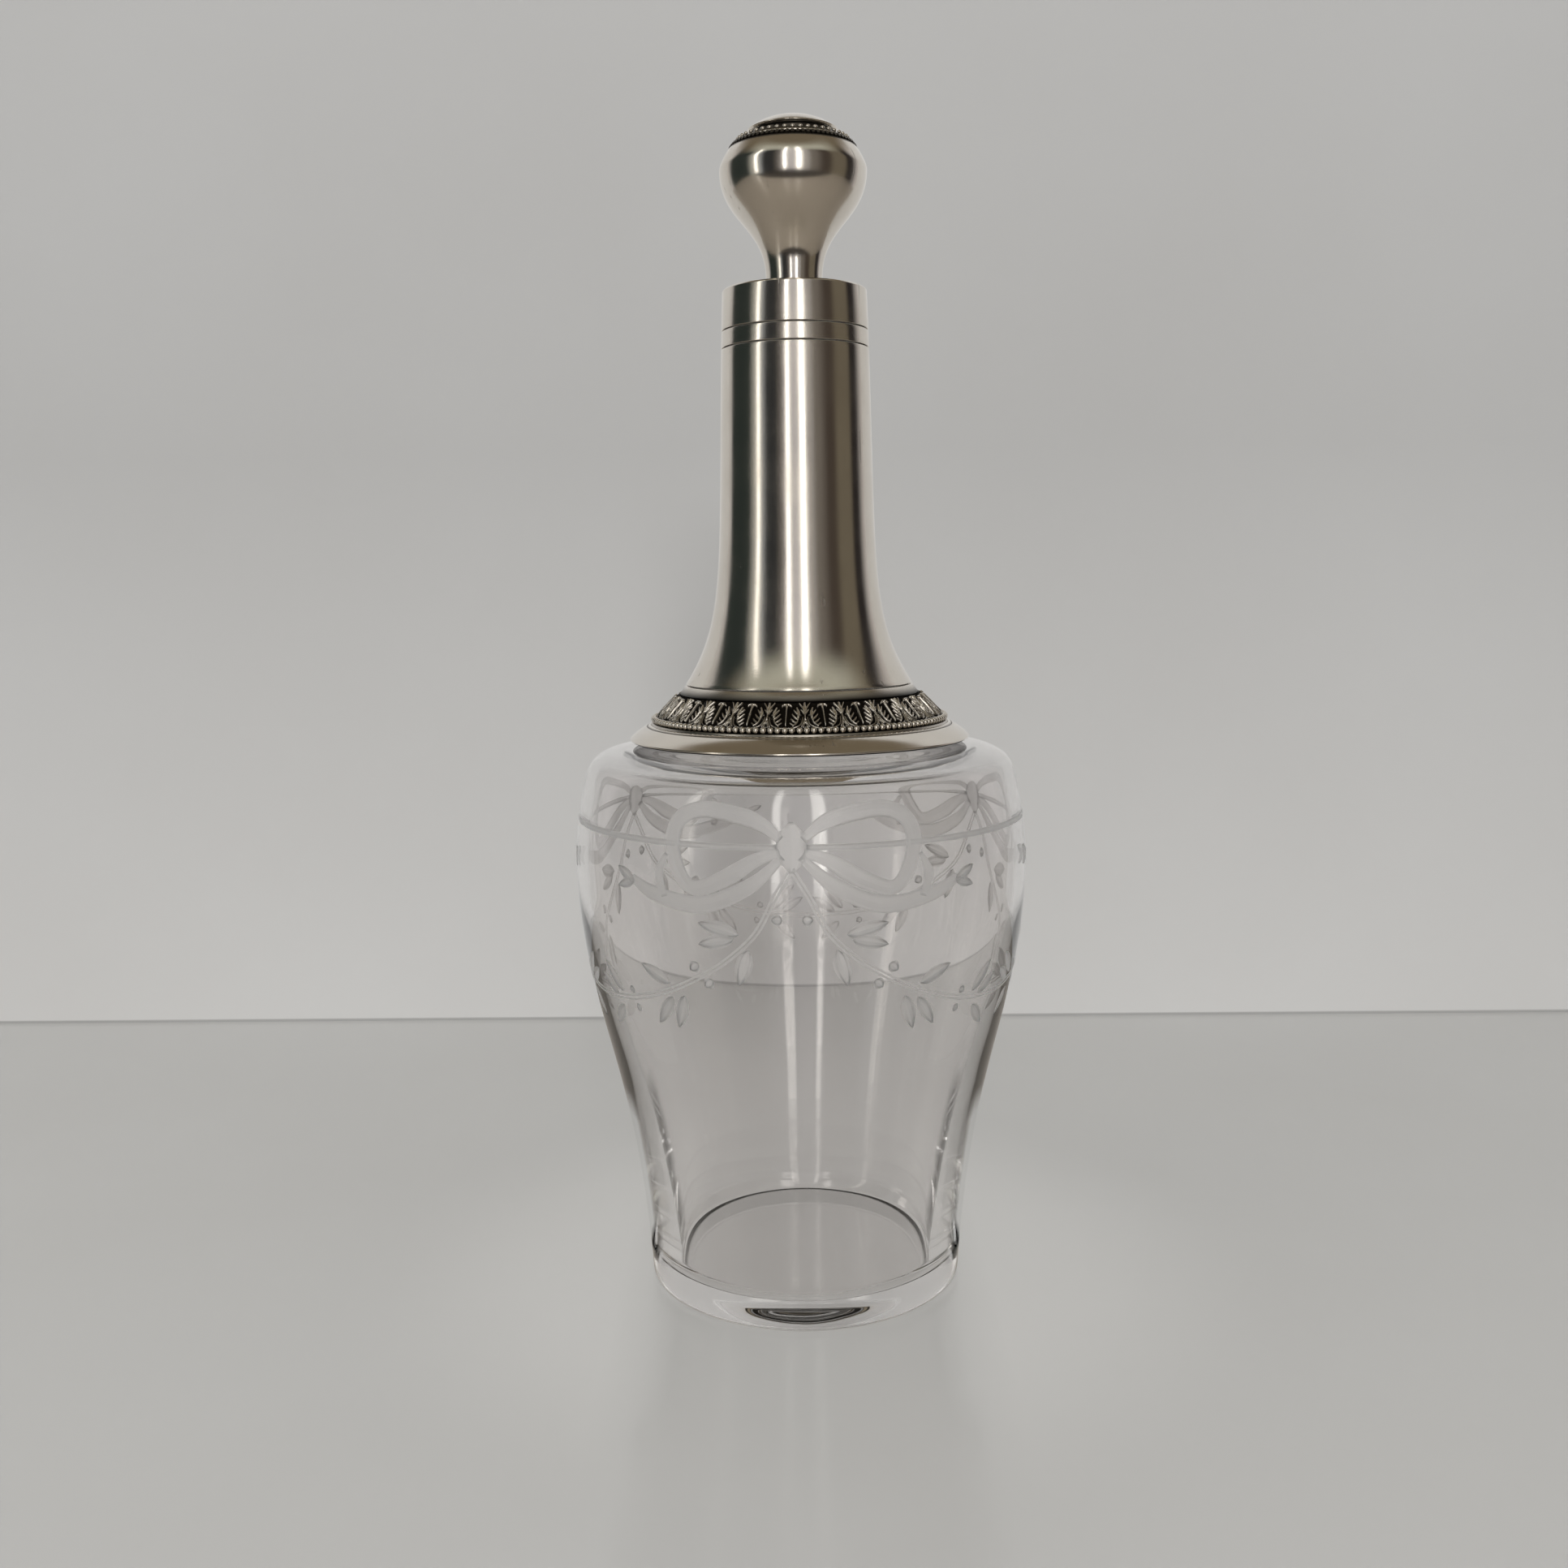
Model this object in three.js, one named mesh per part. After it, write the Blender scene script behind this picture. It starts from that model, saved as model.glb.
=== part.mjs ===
// A wine carafe: an engraved clear glass body with a silver neck mount and a silver-knobbed stopper.
// Millimetres, +Z up. The origin is the centre of the underside, on the surface that the foot stands on.
// Radii are built from the bore outwards and heights from the foot up, so every piece follows its neighbour.
import * as THREE from "three";

// Joints between neighbouring pieces, filled with solder or plaster on the real object
const JOINT_GAP = 0.3;

// Neck, from the bore outwards
const BORE_RADIUS = 8.2;
const SOCKET_LENGTH = 30;
const SOCKET_TAPER = 0.05; // growth in radius for each millimetre of the ground socket
const NECK_GLASS = 5.2;
const NECK_PLASTER = 1.9;
const SILVER_WALL = 0.8;

// Glass body, from the foot up
const BASE_THICKNESS = 5.6;
const FLOOR_FILLET = 3;
const FILLET_HOLD = 0.55; // how far a fillet's curve holds to its two sides, as a share of its size
const GLASS_WALL = 2.7; // at the belly and the shoulder
const FOOT_WALL = 7; // the wall thickens towards the foot
const THIN_WALL_RISE = 95; // underside to where the wall is down to its belly thickness
const FOOT_BEVEL = 0.9;
const LOWER_BODY_RISE = 107.3; // underside to the widest ring
const FOOT_HOLD = 0.555; // share of that rise that the foot's line pulls
const BELLY_HOLD = 0.36; // share of that rise that the widest ring's line pulls
const FOOT_FLARE = 3.5;
const BELLY_SWELL = 16.2; // how far the widest ring stands out from the foot
const UPPER_BODY_RISE = 17.5; // widest ring to where the shoulder turns in
const SHOULDER_INSET = 2.3; // how far the side has come in where the shoulder turns
const SIDE_HOLD = 0.3; // share of the upper rise over which the side keeps its direction
const TURN_LEAN = 0.4; // how much of its inset the side still has to lean in before the shoulder turns
const SHOULDER_RISE = 9.2;
const SHOULDER_LEAN = 0.5;
const SHOULDER_HOLD = 0.63;
const SHOULDER_PULL = 1.6;
const SHOULDER_WIDTH = 13.8; // how far the widest ring stands out from the mount's skirt
const SHOULDER_MARGIN = 1.5; // across, from the mount's skirt to where the shoulder ends
const SHOULDER_DROP = 0.9; // how far the shoulder lies under its neck ring beside the skirt
const NECK_ROOT_RISE = 38;
const NECK_ROOT_REACH = 10.1;
const NECK_ROOT_HOLD = 0.35; // share of the root's rise over which the outer neck turns up
const BORE_ROOT_HOLD = 0.25;

// Silver mount, from its skirt up
const SKIRT_SHADOW_GAP = 1; // between the glass neck ring and the skirt's edge
const SKIRT_EDGE = 0.35;
const SKIRT_LIP = 1; // width of the flat underside of the edge
const SKIRT_RUN = 4.9;
const SKIRT_RISE = 3.3;
const SKIRT_ROLL = 0.25; // share of the run over which the slope rolls off the edge
const SKIRT_FULLNESS = 0.4;
const LINE_DEPTH = 0.35;
const LINE_WIDTH = 0.5;
const BEAD_SEAT_RISE = 0.4;
const BEAD_WIRE_RADIUS = 0.65;
const BEAD_COUNT = 136;
const BEAD_WAIST = 0.55; // thickness between two beads as a share of a bead's
const CONE_RUN = 6.1;
const CONE_RISE = 6.2;
const PLAIN_STRIP_RISE = 2.6;
const PLAIN_STRIP_RUN = 0.9;
const SLEEVE_LENGTH = 78.4;
const SLEEVE_FLARE = 10.7; // how far the sleeve's foot stands out from the mouth
const FLARE_DRAW = 16.6; // height over which the flared foot draws in
const NECK_SWELL = 2.3;
const NECK_SWELL_RISE = 28.3;
const COLLAR_BAND_HEIGHT = 3.75;
const MOUTH_COLLAR_HEIGHT = 9.3;
const RIM_BEVEL = 0.4;
const PLASTER_START = 0.25; // share of the cone that stays bare of plaster at its foot
const RIM_SETBACK = 0.7; // how far the turned-in rim stands back from the socket's mouth

// Cast frieze. Its widths across the wall are shares of one repeat.
const FRIEZE_REPEATS = 24;
const FRIEZE_BASE = 0.5;
const FRIEZE_RELIEF = 0.7;
const FRIEZE_MARGIN = 0.1; // share of the cone left bare at its foot for the bead wire
const CUP_SPREAD = 0.32;
const CUP_RIM = 0.14;
const DART_WIDTH = 0.12;
const LEAF_WIDTH = 0.1;
const LEAF_SPREAD = 0.12;
const LEAF_HEIGHT = 0.8;

// Stopper
const PLUG_CLEARANCE = 0.3;
const PLUG_OVERRUN = 1; // how far the plug reaches below the ground socket
const PLUG_END_ROUND = 1.6;
const STEM_RADIUS = 6.65;
const STEM_LENGTH = 2.2;
const STEM_PLASTER = 1.35;
const TANG_LENGTH = 15;
const TANG_PLASTER_LENGTH = 9;
const KNOB_SWELL = 10.55; // how far the knob's widest ring stands out from the stem
const KNOB_WALL = 0.7;
const PEAR_RISE = 24;
const STEM_DRAW = 11.7;
const PEAR_DRAW = 10.9;
const CROWN_RISE = 12.27;
const CROWN_SIDE_DRAW = 1.9;
const CROWN_TOP_REACH = 11.8;
const RING_SEAT_DEPTH = 0.95; // depth of the knob's seat for its ornament rings
const TEETH_COUNT = 78;
const TEETH_WIDTH = 0.9;
const TOOTH_DEPTH = 0.35;
const TOOTH_STAND = 0.2;
const FILLET_RADIUS = 0.28;
const KNOB_BEAD_RADIUS = 0.45;
const KNOB_BEAD_COUNT = 46;
const SEAT_ARC = 5.2; // along the crown, from the widest ring to the ornament's seat
const DARK_BAND_WIDTH = 2.94; // bare seat between the beads and the dome
const DOME_FOOT_WIDTH = 1.3;
const DOME_LAP = 1.3; // how far the knob's seat runs on under the dome

// Facets: round each piece, along each curve and across each wire
const ROUND_STEPS = 36;
const KNOB_STEPS = 28;
const PLUG_STEPS = 20;
const SIDE_STEPS = 8;
const TURN_STEPS = 2;
const SHOULDER_STEPS = 4;
const ROOT_STEPS = 5;
const FILLET_STEPS = 3;
const SLEEVE_STEPS = 6;
const PEAR_STEPS = 7;
const CROWN_STEPS = 3;
const DOME_STEPS = 5;
const WIRE_SIDES = 5;
const BEAD_SIDES = 4;
const FRIEZE_ROWS = 3;
const FRIEZE_STEPS_PER_REPEAT = 6;

const at = (radius, height) => new THREE.Vector2(radius, height);
const last = (line) => line[line.length - 1];
const reversed = (line) => [...line].reverse();
const between = (start, end, share) => start.clone().lerp(end, share);

// The way out from a line that climbs from start to end.
function outwards(start, end) {
  const way = end.clone().sub(start).normalize();
  return at(way.y, -way.x);
}

// A cubic curve through a profile, as points.
function bend(start, pullStart, pullEnd, end, steps) {
  return new THREE.CubicBezierCurve(start, pullStart, pullEnd, end).getPoints(steps);
}

// The same line moved outwards by a distance, or inwards by a negative one.
function beside(line, distance) {
  return besideBy(line, () => distance);
}

// The same line moved outwards by what distanceAt says for each height.
function besideBy(line, distanceAt) {
  return line.map((point, index) => {
    const before = line[Math.max(index - 1, 0)];
    const after = line[Math.min(index + 1, line.length - 1)];
    return outwards(before, after).multiplyScalar(distanceAt(point.y)).add(point);
  });
}

// A closed profile turned round the Z axis. Its outer side climbs.
function turned(profile, steps) {
  const geometry = new THREE.LatheGeometry(profile, steps);
  geometry.rotateX(Math.PI / 2);
  return geometry;
}

// A closed ring from an outer line and an inner line that both climb.
function shell(outer, inner, steps) {
  return turned([...outer, ...reversed(inner), outer[0]], steps);
}

// A round wire laid in a ring.
function wire(centre, radius, sides, steps) {
  const section = [];
  for (let side = 0; side <= sides; side++) {
    const turn = (side / sides) * 2 * Math.PI;
    section.push(at(centre.x + radius * Math.cos(turn), centre.y + radius * Math.sin(turn)));
  }
  return turned(section, steps);
}

// Moves each vertex of a ring by what shape says for its angle, radius and height.
function carved(geometry, shape) {
  const places = geometry.attributes.position;
  for (let index = 0; index < places.count; index++) {
    const angle = Math.atan2(places.getY(index), places.getX(index));
    const place = at(Math.hypot(places.getX(index), places.getY(index)), places.getZ(index));
    const moved = shape(angle, place);
    places.setXYZ(index, moved.x * Math.cos(angle), moved.x * Math.sin(angle), moved.y);
  }
  geometry.computeVertexNormals();
  return geometry;
}

// A wire pinched between beads: full at each bead and thin at each waist.
function beaded(centre, radius, count) {
  return carved(wire(centre, radius, BEAD_SIDES, count * 2), (angle, place) => {
    const fullness = (1 + Math.cos(angle * count)) / 2;
    const scale = BEAD_WAIST + (1 - BEAD_WAIST) * fullness;
    return place.sub(centre).multiplyScalar(scale).add(centre);
  });
}

// Radii that the pieces share, from the bore outwards
const socketMouth = BORE_RADIUS + SOCKET_LENGTH * SOCKET_TAPER;
const glassNeckRadius = BORE_RADIUS + NECK_GLASS;
const mouthRadius = glassNeckRadius + JOINT_GAP + NECK_PLASTER + JOINT_GAP + SILVER_WALL;
const sleeveFootRadius = mouthRadius + SLEEVE_FLARE;
const coneHeadRadius = sleeveFootRadius + PLAIN_STRIP_RUN;
const coneFootRadius = coneHeadRadius + CONE_RUN;
const skirtTopRadius = coneFootRadius + BEAD_WIRE_RADIUS * 2 + LINE_WIDTH;
const skirtRadius = skirtTopRadius + SKIRT_RUN;
const bellyRadius = skirtRadius + SHOULDER_WIDTH;
const footRadius = bellyRadius - BELLY_SWELL;

// Heights that the pieces share, from the foot up
const bellyHeight = LOWER_BODY_RISE;
const shoulderStart = bellyHeight + UPPER_BODY_RISE;
const shoulderTop = shoulderStart + SHOULDER_RISE;
const skirtFoot = shoulderTop + SKIRT_SHADOW_GAP;
const skirtTop = skirtFoot + SKIRT_EDGE + SKIRT_RISE;
const beadSeat = skirtTop + BEAD_SEAT_RISE;
const coneTop = beadSeat + CONE_RISE;
const stripTop = coneTop + PLAIN_STRIP_RISE;
const sleeveFoot = stripTop + JOINT_GAP;
const sleeveTop = sleeveFoot + SLEEVE_LENGTH;
const bandFoot = sleeveTop + JOINT_GAP;
const bandTop = bandFoot + COLLAR_BAND_HEIGHT;
const collarFoot = bandTop + JOINT_GAP;
const mouthTop = collarFoot + MOUTH_COLLAR_HEIGHT;
const rimUnderside = mouthTop - SILVER_WALL;
const glassLip = rimUnderside - JOINT_GAP;
const socketFoot = glassLip - SOCKET_LENGTH;
const neckRootTop = shoulderTop + NECK_ROOT_RISE;

// The mount's cone, which carries the frieze between the bead wire and the plain strip's ledge
const coneFoot = at(coneFootRadius, beadSeat);
const coneHead = at(coneHeadRadius, coneTop);
const friezeFoot = between(coneFoot, coneHead, FRIEZE_MARGIN);
const friezeHead = between(coneHead, coneFoot, JOINT_GAP / coneHead.distanceTo(coneFoot));
const coneOut = outwards(coneFoot, coneHead);

// The mount's outer line from the sleeve's flared foot to the mouth
const neckCurve = new THREE.CubicBezierCurve(
  at(sleeveFootRadius, sleeveFoot),
  at(mouthRadius - JOINT_GAP, sleeveFoot + FLARE_DRAW),
  at(mouthRadius + NECK_SWELL, sleeveFoot + NECK_SWELL_RISE),
  at(mouthRadius, mouthTop),
);

// The mount's outer radius at a height, found by halving.
function neckRadius(height) {
  let low = 0;
  let high = 1;
  const halvings = 30;
  for (let halving = 0; halving < halvings; halving++) {
    const middle = (low + high) / 2;
    if (neckCurve.getPoint(middle).y < height) low = middle;
    else high = middle;
  }
  return neckCurve.getPoint(low).x;
}

// Points of the mount's outer line between two heights, closer together at the lower end.
function neckLine(from, to, steps) {
  const evenness = 0.4;
  const line = [];
  for (let step = 0; step <= steps; step++) {
    const share = step / steps;
    const height = from + (to - from) * share * (evenness + (1 - evenness) * share);
    line.push(at(neckRadius(height), height));
  }
  return line;
}

// The glass body's side, from the foot's bevel to beside the mount's skirt.
function bodySide() {
  const turnRadius = bellyRadius - SHOULDER_INSET;
  const shoulderEnd = at(skirtRadius + SHOULDER_MARGIN, shoulderTop - SHOULDER_DROP);
  const lower = bend(
    at(footRadius, FOOT_BEVEL),
    at(footRadius + FOOT_FLARE, LOWER_BODY_RISE * FOOT_HOLD),
    at(bellyRadius, LOWER_BODY_RISE * (1 - BELLY_HOLD)),
    at(bellyRadius, bellyHeight),
    SIDE_STEPS,
  );
  const upper = bend(
    at(bellyRadius, bellyHeight),
    at(bellyRadius, bellyHeight + UPPER_BODY_RISE * SIDE_HOLD),
    at(turnRadius + SHOULDER_INSET * TURN_LEAN, shoulderStart - UPPER_BODY_RISE * SIDE_HOLD),
    at(turnRadius, shoulderStart),
    TURN_STEPS,
  );
  const shoulder = bend(
    at(turnRadius, shoulderStart),
    at(turnRadius - SHOULDER_INSET * SHOULDER_LEAN, shoulderStart + SHOULDER_RISE * SHOULDER_HOLD),
    at(turnRadius - SHOULDER_INSET * SHOULDER_PULL, shoulderEnd.y - SHOULDER_DROP),
    shoulderEnd,
    SHOULDER_STEPS,
  );
  return [...lower, ...upper.slice(1), ...shoulder.slice(1)];
}

// The hidden glass neck's outer line, from under the skirt to its straight part.
function neckRoot() {
  return bend(
    at(skirtRadius - SILVER_WALL, shoulderTop - SHOULDER_DROP / 2),
    at(skirtRadius - NECK_ROOT_REACH, shoulderTop),
    at(glassNeckRadius, shoulderTop + NECK_ROOT_RISE * NECK_ROOT_HOLD),
    at(glassNeckRadius, neckRootTop),
    ROOT_STEPS,
  );
}

// Thickness of the glass at a height.
function glassWall(height) {
  const thickening = Math.max(0, 1 - height / THIN_WALL_RISE);
  return GLASS_WALL + (FOOT_WALL - GLASS_WALL) * thickening;
}

// Glass body: thick foot, belly, rounded shoulder and a hidden neck with a ground socket.
function glassBody() {
  const side = bodySide();
  const foot = [at(0, 0), at(footRadius - FOOT_BEVEL, 0)];
  const outer = [...foot, ...side, ...neckRoot(), at(glassNeckRadius, glassLip)];
  const filletTop = BASE_THICKNESS + FLOOR_FILLET;
  const wall = besideBy(side, (height) => -glassWall(height)).filter((point) => point.y > filletTop);
  const sideAtFillet = between(side[0], side[1], (filletTop - side[0].y) / (side[1].y - side[0].y));
  const wallFoot = at(sideAtFillet.x - glassWall(filletTop), filletTop);
  const floor = bend(
    at(wallFoot.x - FLOOR_FILLET, BASE_THICKNESS),
    at(wallFoot.x - FLOOR_FILLET * (1 - FILLET_HOLD), BASE_THICKNESS),
    at(wallFoot.x, filletTop - FLOOR_FILLET * FILLET_HOLD),
    wallFoot,
    FILLET_STEPS,
  );
  const underNeck = last(wall);
  const bore = bend(
    underNeck,
    at(underNeck.x - NECK_ROOT_REACH, underNeck.y + SHOULDER_DROP),
    at(BORE_RADIUS, underNeck.y + NECK_ROOT_RISE * BORE_ROOT_HOLD),
    at(BORE_RADIUS, neckRootTop),
    ROOT_STEPS,
  );
  const inner = [
    at(0, BASE_THICKNESS),
    ...floor,
    ...wall,
    ...bore.slice(1),
    at(BORE_RADIUS, socketFoot),
    at(socketMouth, glassLip),
  ];
  return turned([...outer, ...reversed(inner)], ROUND_STEPS);
}

// Spun skirt: thin edge, sloping top, incised line, bead seat, cone and plain strip.
function shoulderFlange() {
  const edgeTop = skirtFoot + SKIRT_EDGE;
  const slope = bend(
    at(skirtRadius, edgeTop),
    at(skirtRadius - SKIRT_RUN * SKIRT_ROLL, edgeTop + SKIRT_RISE * SKIRT_FULLNESS),
    at(skirtTopRadius + SKIRT_RUN * SKIRT_FULLNESS, skirtTop - (SKIRT_RISE * SKIRT_FULLNESS) / 2),
    at(skirtTopRadius, skirtTop),
    FILLET_STEPS,
  );
  const outer = [
    at(skirtRadius, skirtFoot),
    ...slope,
    at(skirtTopRadius - LINE_WIDTH / 2, skirtTop - LINE_DEPTH),
    at(skirtTopRadius - LINE_WIDTH, beadSeat),
    coneFoot,
    coneHead,
    coneHead.clone().addScaledVector(coneOut, JOINT_GAP + FRIEZE_BASE),
    at(sleeveFootRadius, stripTop),
  ];
  const seatLine = at(skirtTopRadius, skirtTop - LINE_DEPTH);
  const inside = [at(skirtRadius, edgeTop), seatLine, coneFoot, coneHead];
  const inner = beside([...inside, at(sleeveFootRadius, stripTop)], -SILVER_WALL);
  inner[0] = at(skirtRadius - SKIRT_LIP, skirtFoot);
  last(inner).y = stripTop;
  return shell(outer, inner, ROUND_STEPS);
}

// How high the frieze stands: cups with a dart inside them, and a leaf stem between each pair of cups.
function friezeHeight(angle, climb) {
  const turn = THREE.MathUtils.euclideanModulo((angle * FRIEZE_REPEATS) / (2 * Math.PI), 1);
  const aside = Math.abs(turn - 0.5);
  const ridge = (distance, width) => Math.max(0, 1 - Math.abs(distance) / width);
  const cupOpening = CUP_SPREAD * Math.sqrt(THREE.MathUtils.clamp(climb * 2, 0, 1));
  const cup = ridge(aside - cupOpening, CUP_RIM);
  const dart = ridge(aside, DART_WIDTH);
  const leaf = ridge(aside - 0.5, LEAF_WIDTH + LEAF_SPREAD * climb) * LEAF_HEIGHT;
  return Math.max(cup, dart, leaf);
}

// Cast frieze strip on the cone, with its ornament standing out from a plain base.
function leafFrieze() {
  const face = [];
  for (let row = 0; row <= FRIEZE_ROWS; row++) {
    face.push(between(friezeFoot, friezeHead, row / FRIEZE_ROWS));
  }
  const outer = beside(face, JOINT_GAP + FRIEZE_BASE);
  const back = beside([friezeFoot, friezeHead], JOINT_GAP);
  const middle = (outer[0].dot(coneOut) + back[0].dot(coneOut)) / 2;
  const strip = shell(outer, back, FRIEZE_REPEATS * FRIEZE_STEPS_PER_REPEAT);
  return carved(strip, (angle, place) => {
    if (place.dot(coneOut) < middle) return place;
    const climb = (place.y - outer[0].y) / (last(outer).y - outer[0].y);
    return place.addScaledVector(coneOut, FRIEZE_RELIEF * friezeHeight(angle, climb));
  });
}

// Plaster between the mount and the hidden glass neck.
function plasterBed() {
  const top = glassLip - JOINT_GAP;
  const start = between(coneFoot, coneHead, PLASTER_START);
  const mountLine = [start, coneHead, ...neckLine(sleeveFoot, top, SLEEVE_STEPS)];
  const outer = beside(mountLine, -(SILVER_WALL + JOINT_GAP));
  last(outer).y = top;
  const glassLine = neckRoot().filter((point) => point.x < outer[0].x - NECK_PLASTER);
  const inner = beside([...glassLine, at(glassNeckRadius, top)], JOINT_GAP);
  last(inner).y = top;
  return shell(outer, inner, ROUND_STEPS);
}

function neckSleeve() {
  const outer = neckLine(sleeveFoot, sleeveTop, SLEEVE_STEPS);
  const inner = beside(outer, -SILVER_WALL);
  inner[0].y = sleeveFoot;
  last(inner).y = sleeveTop;
  return shell(outer, inner, ROUND_STEPS);
}

function collarBand() {
  const outer = neckLine(bandFoot, bandTop, 1);
  const inner = outer.map((point) => at(point.x - SILVER_WALL, point.y));
  return shell(outer, inner, ROUND_STEPS);
}

// Top collar, turned in over the glass lip and left open for the stopper.
function mouthCollar() {
  const opening = socketMouth + RIM_SETBACK;
  const foot = neckRadius(collarFoot);
  const outer = [
    at(foot, collarFoot),
    at(mouthRadius, mouthTop - RIM_BEVEL),
    at(mouthRadius - RIM_BEVEL, mouthTop),
  ];
  const inner = [
    at(foot - SILVER_WALL, collarFoot),
    at(mouthRadius - SILVER_WALL, rimUnderside),
    at(opening, rimUnderside),
    at(opening, mouthTop),
  ];
  return shell(outer, inner, ROUND_STEPS);
}

// Stopper sizes, from the socket outwards and upwards
const plugTop = mouthTop + JOINT_GAP;
const plugTopRadius = socketMouth - PLUG_CLEARANCE;
const stemFoot = plugTop + JOINT_GAP;
const stemTop = stemFoot + STEM_LENGTH;
const tangTop = stemFoot + TANG_LENGTH;
const stemBore = STEM_RADIUS - KNOB_WALL;
const tangRadius = stemBore - JOINT_GAP - STEM_PLASTER - JOINT_GAP;
const knobRadius = STEM_RADIUS + KNOB_SWELL;
const knobWidest = stemTop + PEAR_RISE;
const crownTop = knobWidest + CROWN_RISE;
const crown = new THREE.CubicBezierCurve(
  at(knobRadius, knobWidest),
  at(knobRadius, knobWidest + CROWN_SIDE_DRAW),
  at(CROWN_TOP_REACH, crownTop),
  at(0, crownTop),
);
const crownArc = crown.getLength();

// Places of the ornament rings, measured along the crown
const teethStart = SEAT_ARC + JOINT_GAP;
const teethEnd = teethStart + TEETH_WIDTH;
const filletPlace = teethEnd + JOINT_GAP + FILLET_RADIUS;
const beadPlace = filletPlace + FILLET_RADIUS + JOINT_GAP + KNOB_BEAD_RADIUS;
const domeStart = beadPlace + KNOB_BEAD_RADIUS + DARK_BAND_WIDTH;
const domeFootEnd = domeStart + DOME_FOOT_WIDTH;
const seatEnd = domeFootEnd + DOME_LAP;

// A point of the crown at an arc length from the widest ring, moved outwards by a distance.
function crownPoint(arc, distance) {
  const share = Math.min(arc / crownArc, 1);
  const way = crown.getTangentAt(share);
  const point = crown.getPointAt(share);
  return at(share === 1 ? 0 : point.x + way.y * distance, point.y - way.x * distance);
}

function crownLine(from, to, distance, steps) {
  const line = [];
  for (let step = 0; step <= steps; step++) {
    line.push(crownPoint(from + ((to - from) * step) / steps, distance));
  }
  return line;
}

// Hollow pear-shaped knob with its stem, open at the stem and under the dome.
function stopperKnob() {
  const pear = bend(
    at(STEM_RADIUS, stemTop),
    at(STEM_RADIUS, stemTop + STEM_DRAW),
    at(knobRadius, knobWidest - PEAR_DRAW),
    at(knobRadius, knobWidest),
    PEAR_STEPS,
  );
  const outside = [at(STEM_RADIUS, stemFoot), ...pear];
  const stepBack = RING_SEAT_DEPTH + KNOB_WALL;
  const outer = [
    ...outside,
    ...crownLine(0, SEAT_ARC, 0, CROWN_STEPS).slice(1),
    ...crownLine(SEAT_ARC, seatEnd, -RING_SEAT_DEPTH, CROWN_STEPS),
  ];
  const inner = [
    ...beside(outside, -KNOB_WALL),
    ...crownLine(0, SEAT_ARC - stepBack, -KNOB_WALL, CROWN_STEPS).slice(1),
    ...crownLine(SEAT_ARC - KNOB_WALL, seatEnd, -stepBack, CROWN_STEPS),
  ];
  inner[0].y = stemFoot;
  return shell(outer, inner, KNOB_STEPS);
}

// Ring of fine teeth: each notch sinks the outer face and leaves the back plain.
function toothedRing() {
  const face = crownLine(teethStart, teethEnd, TOOTH_STAND, 1);
  const back = crownLine(teethStart, teethEnd, JOINT_GAP - RING_SEAT_DEPTH, 1);
  const out = outwards(face[0], face[1]);
  const middle = (back[0].dot(out) + face[0].dot(out)) / 2;
  return carved(shell(face, back, TEETH_COUNT * 2), (angle, place) => {
    if (place.dot(out) < middle) return place;
    const sink = (TOOTH_DEPTH * (1 - Math.cos(angle * TEETH_COUNT))) / 2;
    return place.addScaledVector(out, -sink);
  });
}

function stopperDome() {
  const foot = crownLine(domeStart, domeFootEnd, JOINT_GAP - RING_SEAT_DEPTH, 1);
  const outer = [foot[0], ...crownLine(domeStart, crownArc, 0, DOME_STEPS)];
  const inner = [foot[1], ...crownLine(domeFootEnd, crownArc, -KNOB_WALL, CROWN_STEPS)];
  return turned([...outer, ...reversed(inner), outer[0]], KNOB_STEPS);
}

// Ground glass plug, tapered to the socket, with the tang that the knob is set on.
function stopperPlug() {
  const plugFoot = socketFoot - PLUG_OVERRUN;
  const footRadius = BORE_RADIUS - PLUG_CLEARANCE;
  const profile = [
    at(0, plugFoot),
    at(footRadius - PLUG_END_ROUND, plugFoot),
    at(footRadius, plugFoot + PLUG_END_ROUND),
    at(plugTopRadius, glassLip),
    at(plugTopRadius, plugTop),
    at(tangRadius, plugTop),
    at(tangRadius, tangTop),
    at(0, tangTop),
  ];
  return turned(profile, PLUG_STEPS);
}

// Plaster that holds the tang in the knob's stem.
function stopperPlaster() {
  const plasterTop = stemFoot + TANG_PLASTER_LENGTH;
  const outer = [at(stemBore - JOINT_GAP, stemFoot), at(stemBore - JOINT_GAP, plasterTop)];
  const inner = [at(tangRadius + JOINT_GAP, stemFoot), at(tangRadius + JOINT_GAP, plasterTop)];
  return shell(outer, inner, PLUG_STEPS);
}

function silver(color, roughness) {
  return new THREE.MeshStandardMaterial({ color, roughness, metalness: 1 });
}

function glass(color, roughness, opacity) {
  return new THREE.MeshStandardMaterial({ color, roughness, opacity, metalness: 0, transparent: true });
}

function plaster() {
  return new THREE.MeshStandardMaterial({ color: 0xd8d2c4, roughness: 0.9, metalness: 0 });
}

function piece(name, geometry, material) {
  const mesh = new THREE.Mesh(geometry, material);
  mesh.name = name;
  return mesh;
}

// The bead wire lies on its seat and against the cone, the knob's rings on theirs
const beadCentre = at(
  coneFootRadius + JOINT_GAP / 2 + BEAD_WIRE_RADIUS,
  beadSeat + JOINT_GAP / 2 + BEAD_WIRE_RADIUS,
);
const filletCentre = crownPoint(filletPlace, JOINT_GAP + FILLET_RADIUS - RING_SEAT_DEPTH);
const knobBeadCentre = crownPoint(beadPlace, JOINT_GAP + KNOB_BEAD_RADIUS - RING_SEAT_DEPTH);
const filletRing = wire(filletCentre, FILLET_RADIUS, WIRE_SIDES, KNOB_STEPS);
const knobBeadRing = beaded(knobBeadCentre, KNOB_BEAD_RADIUS, KNOB_BEAD_COUNT);

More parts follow.
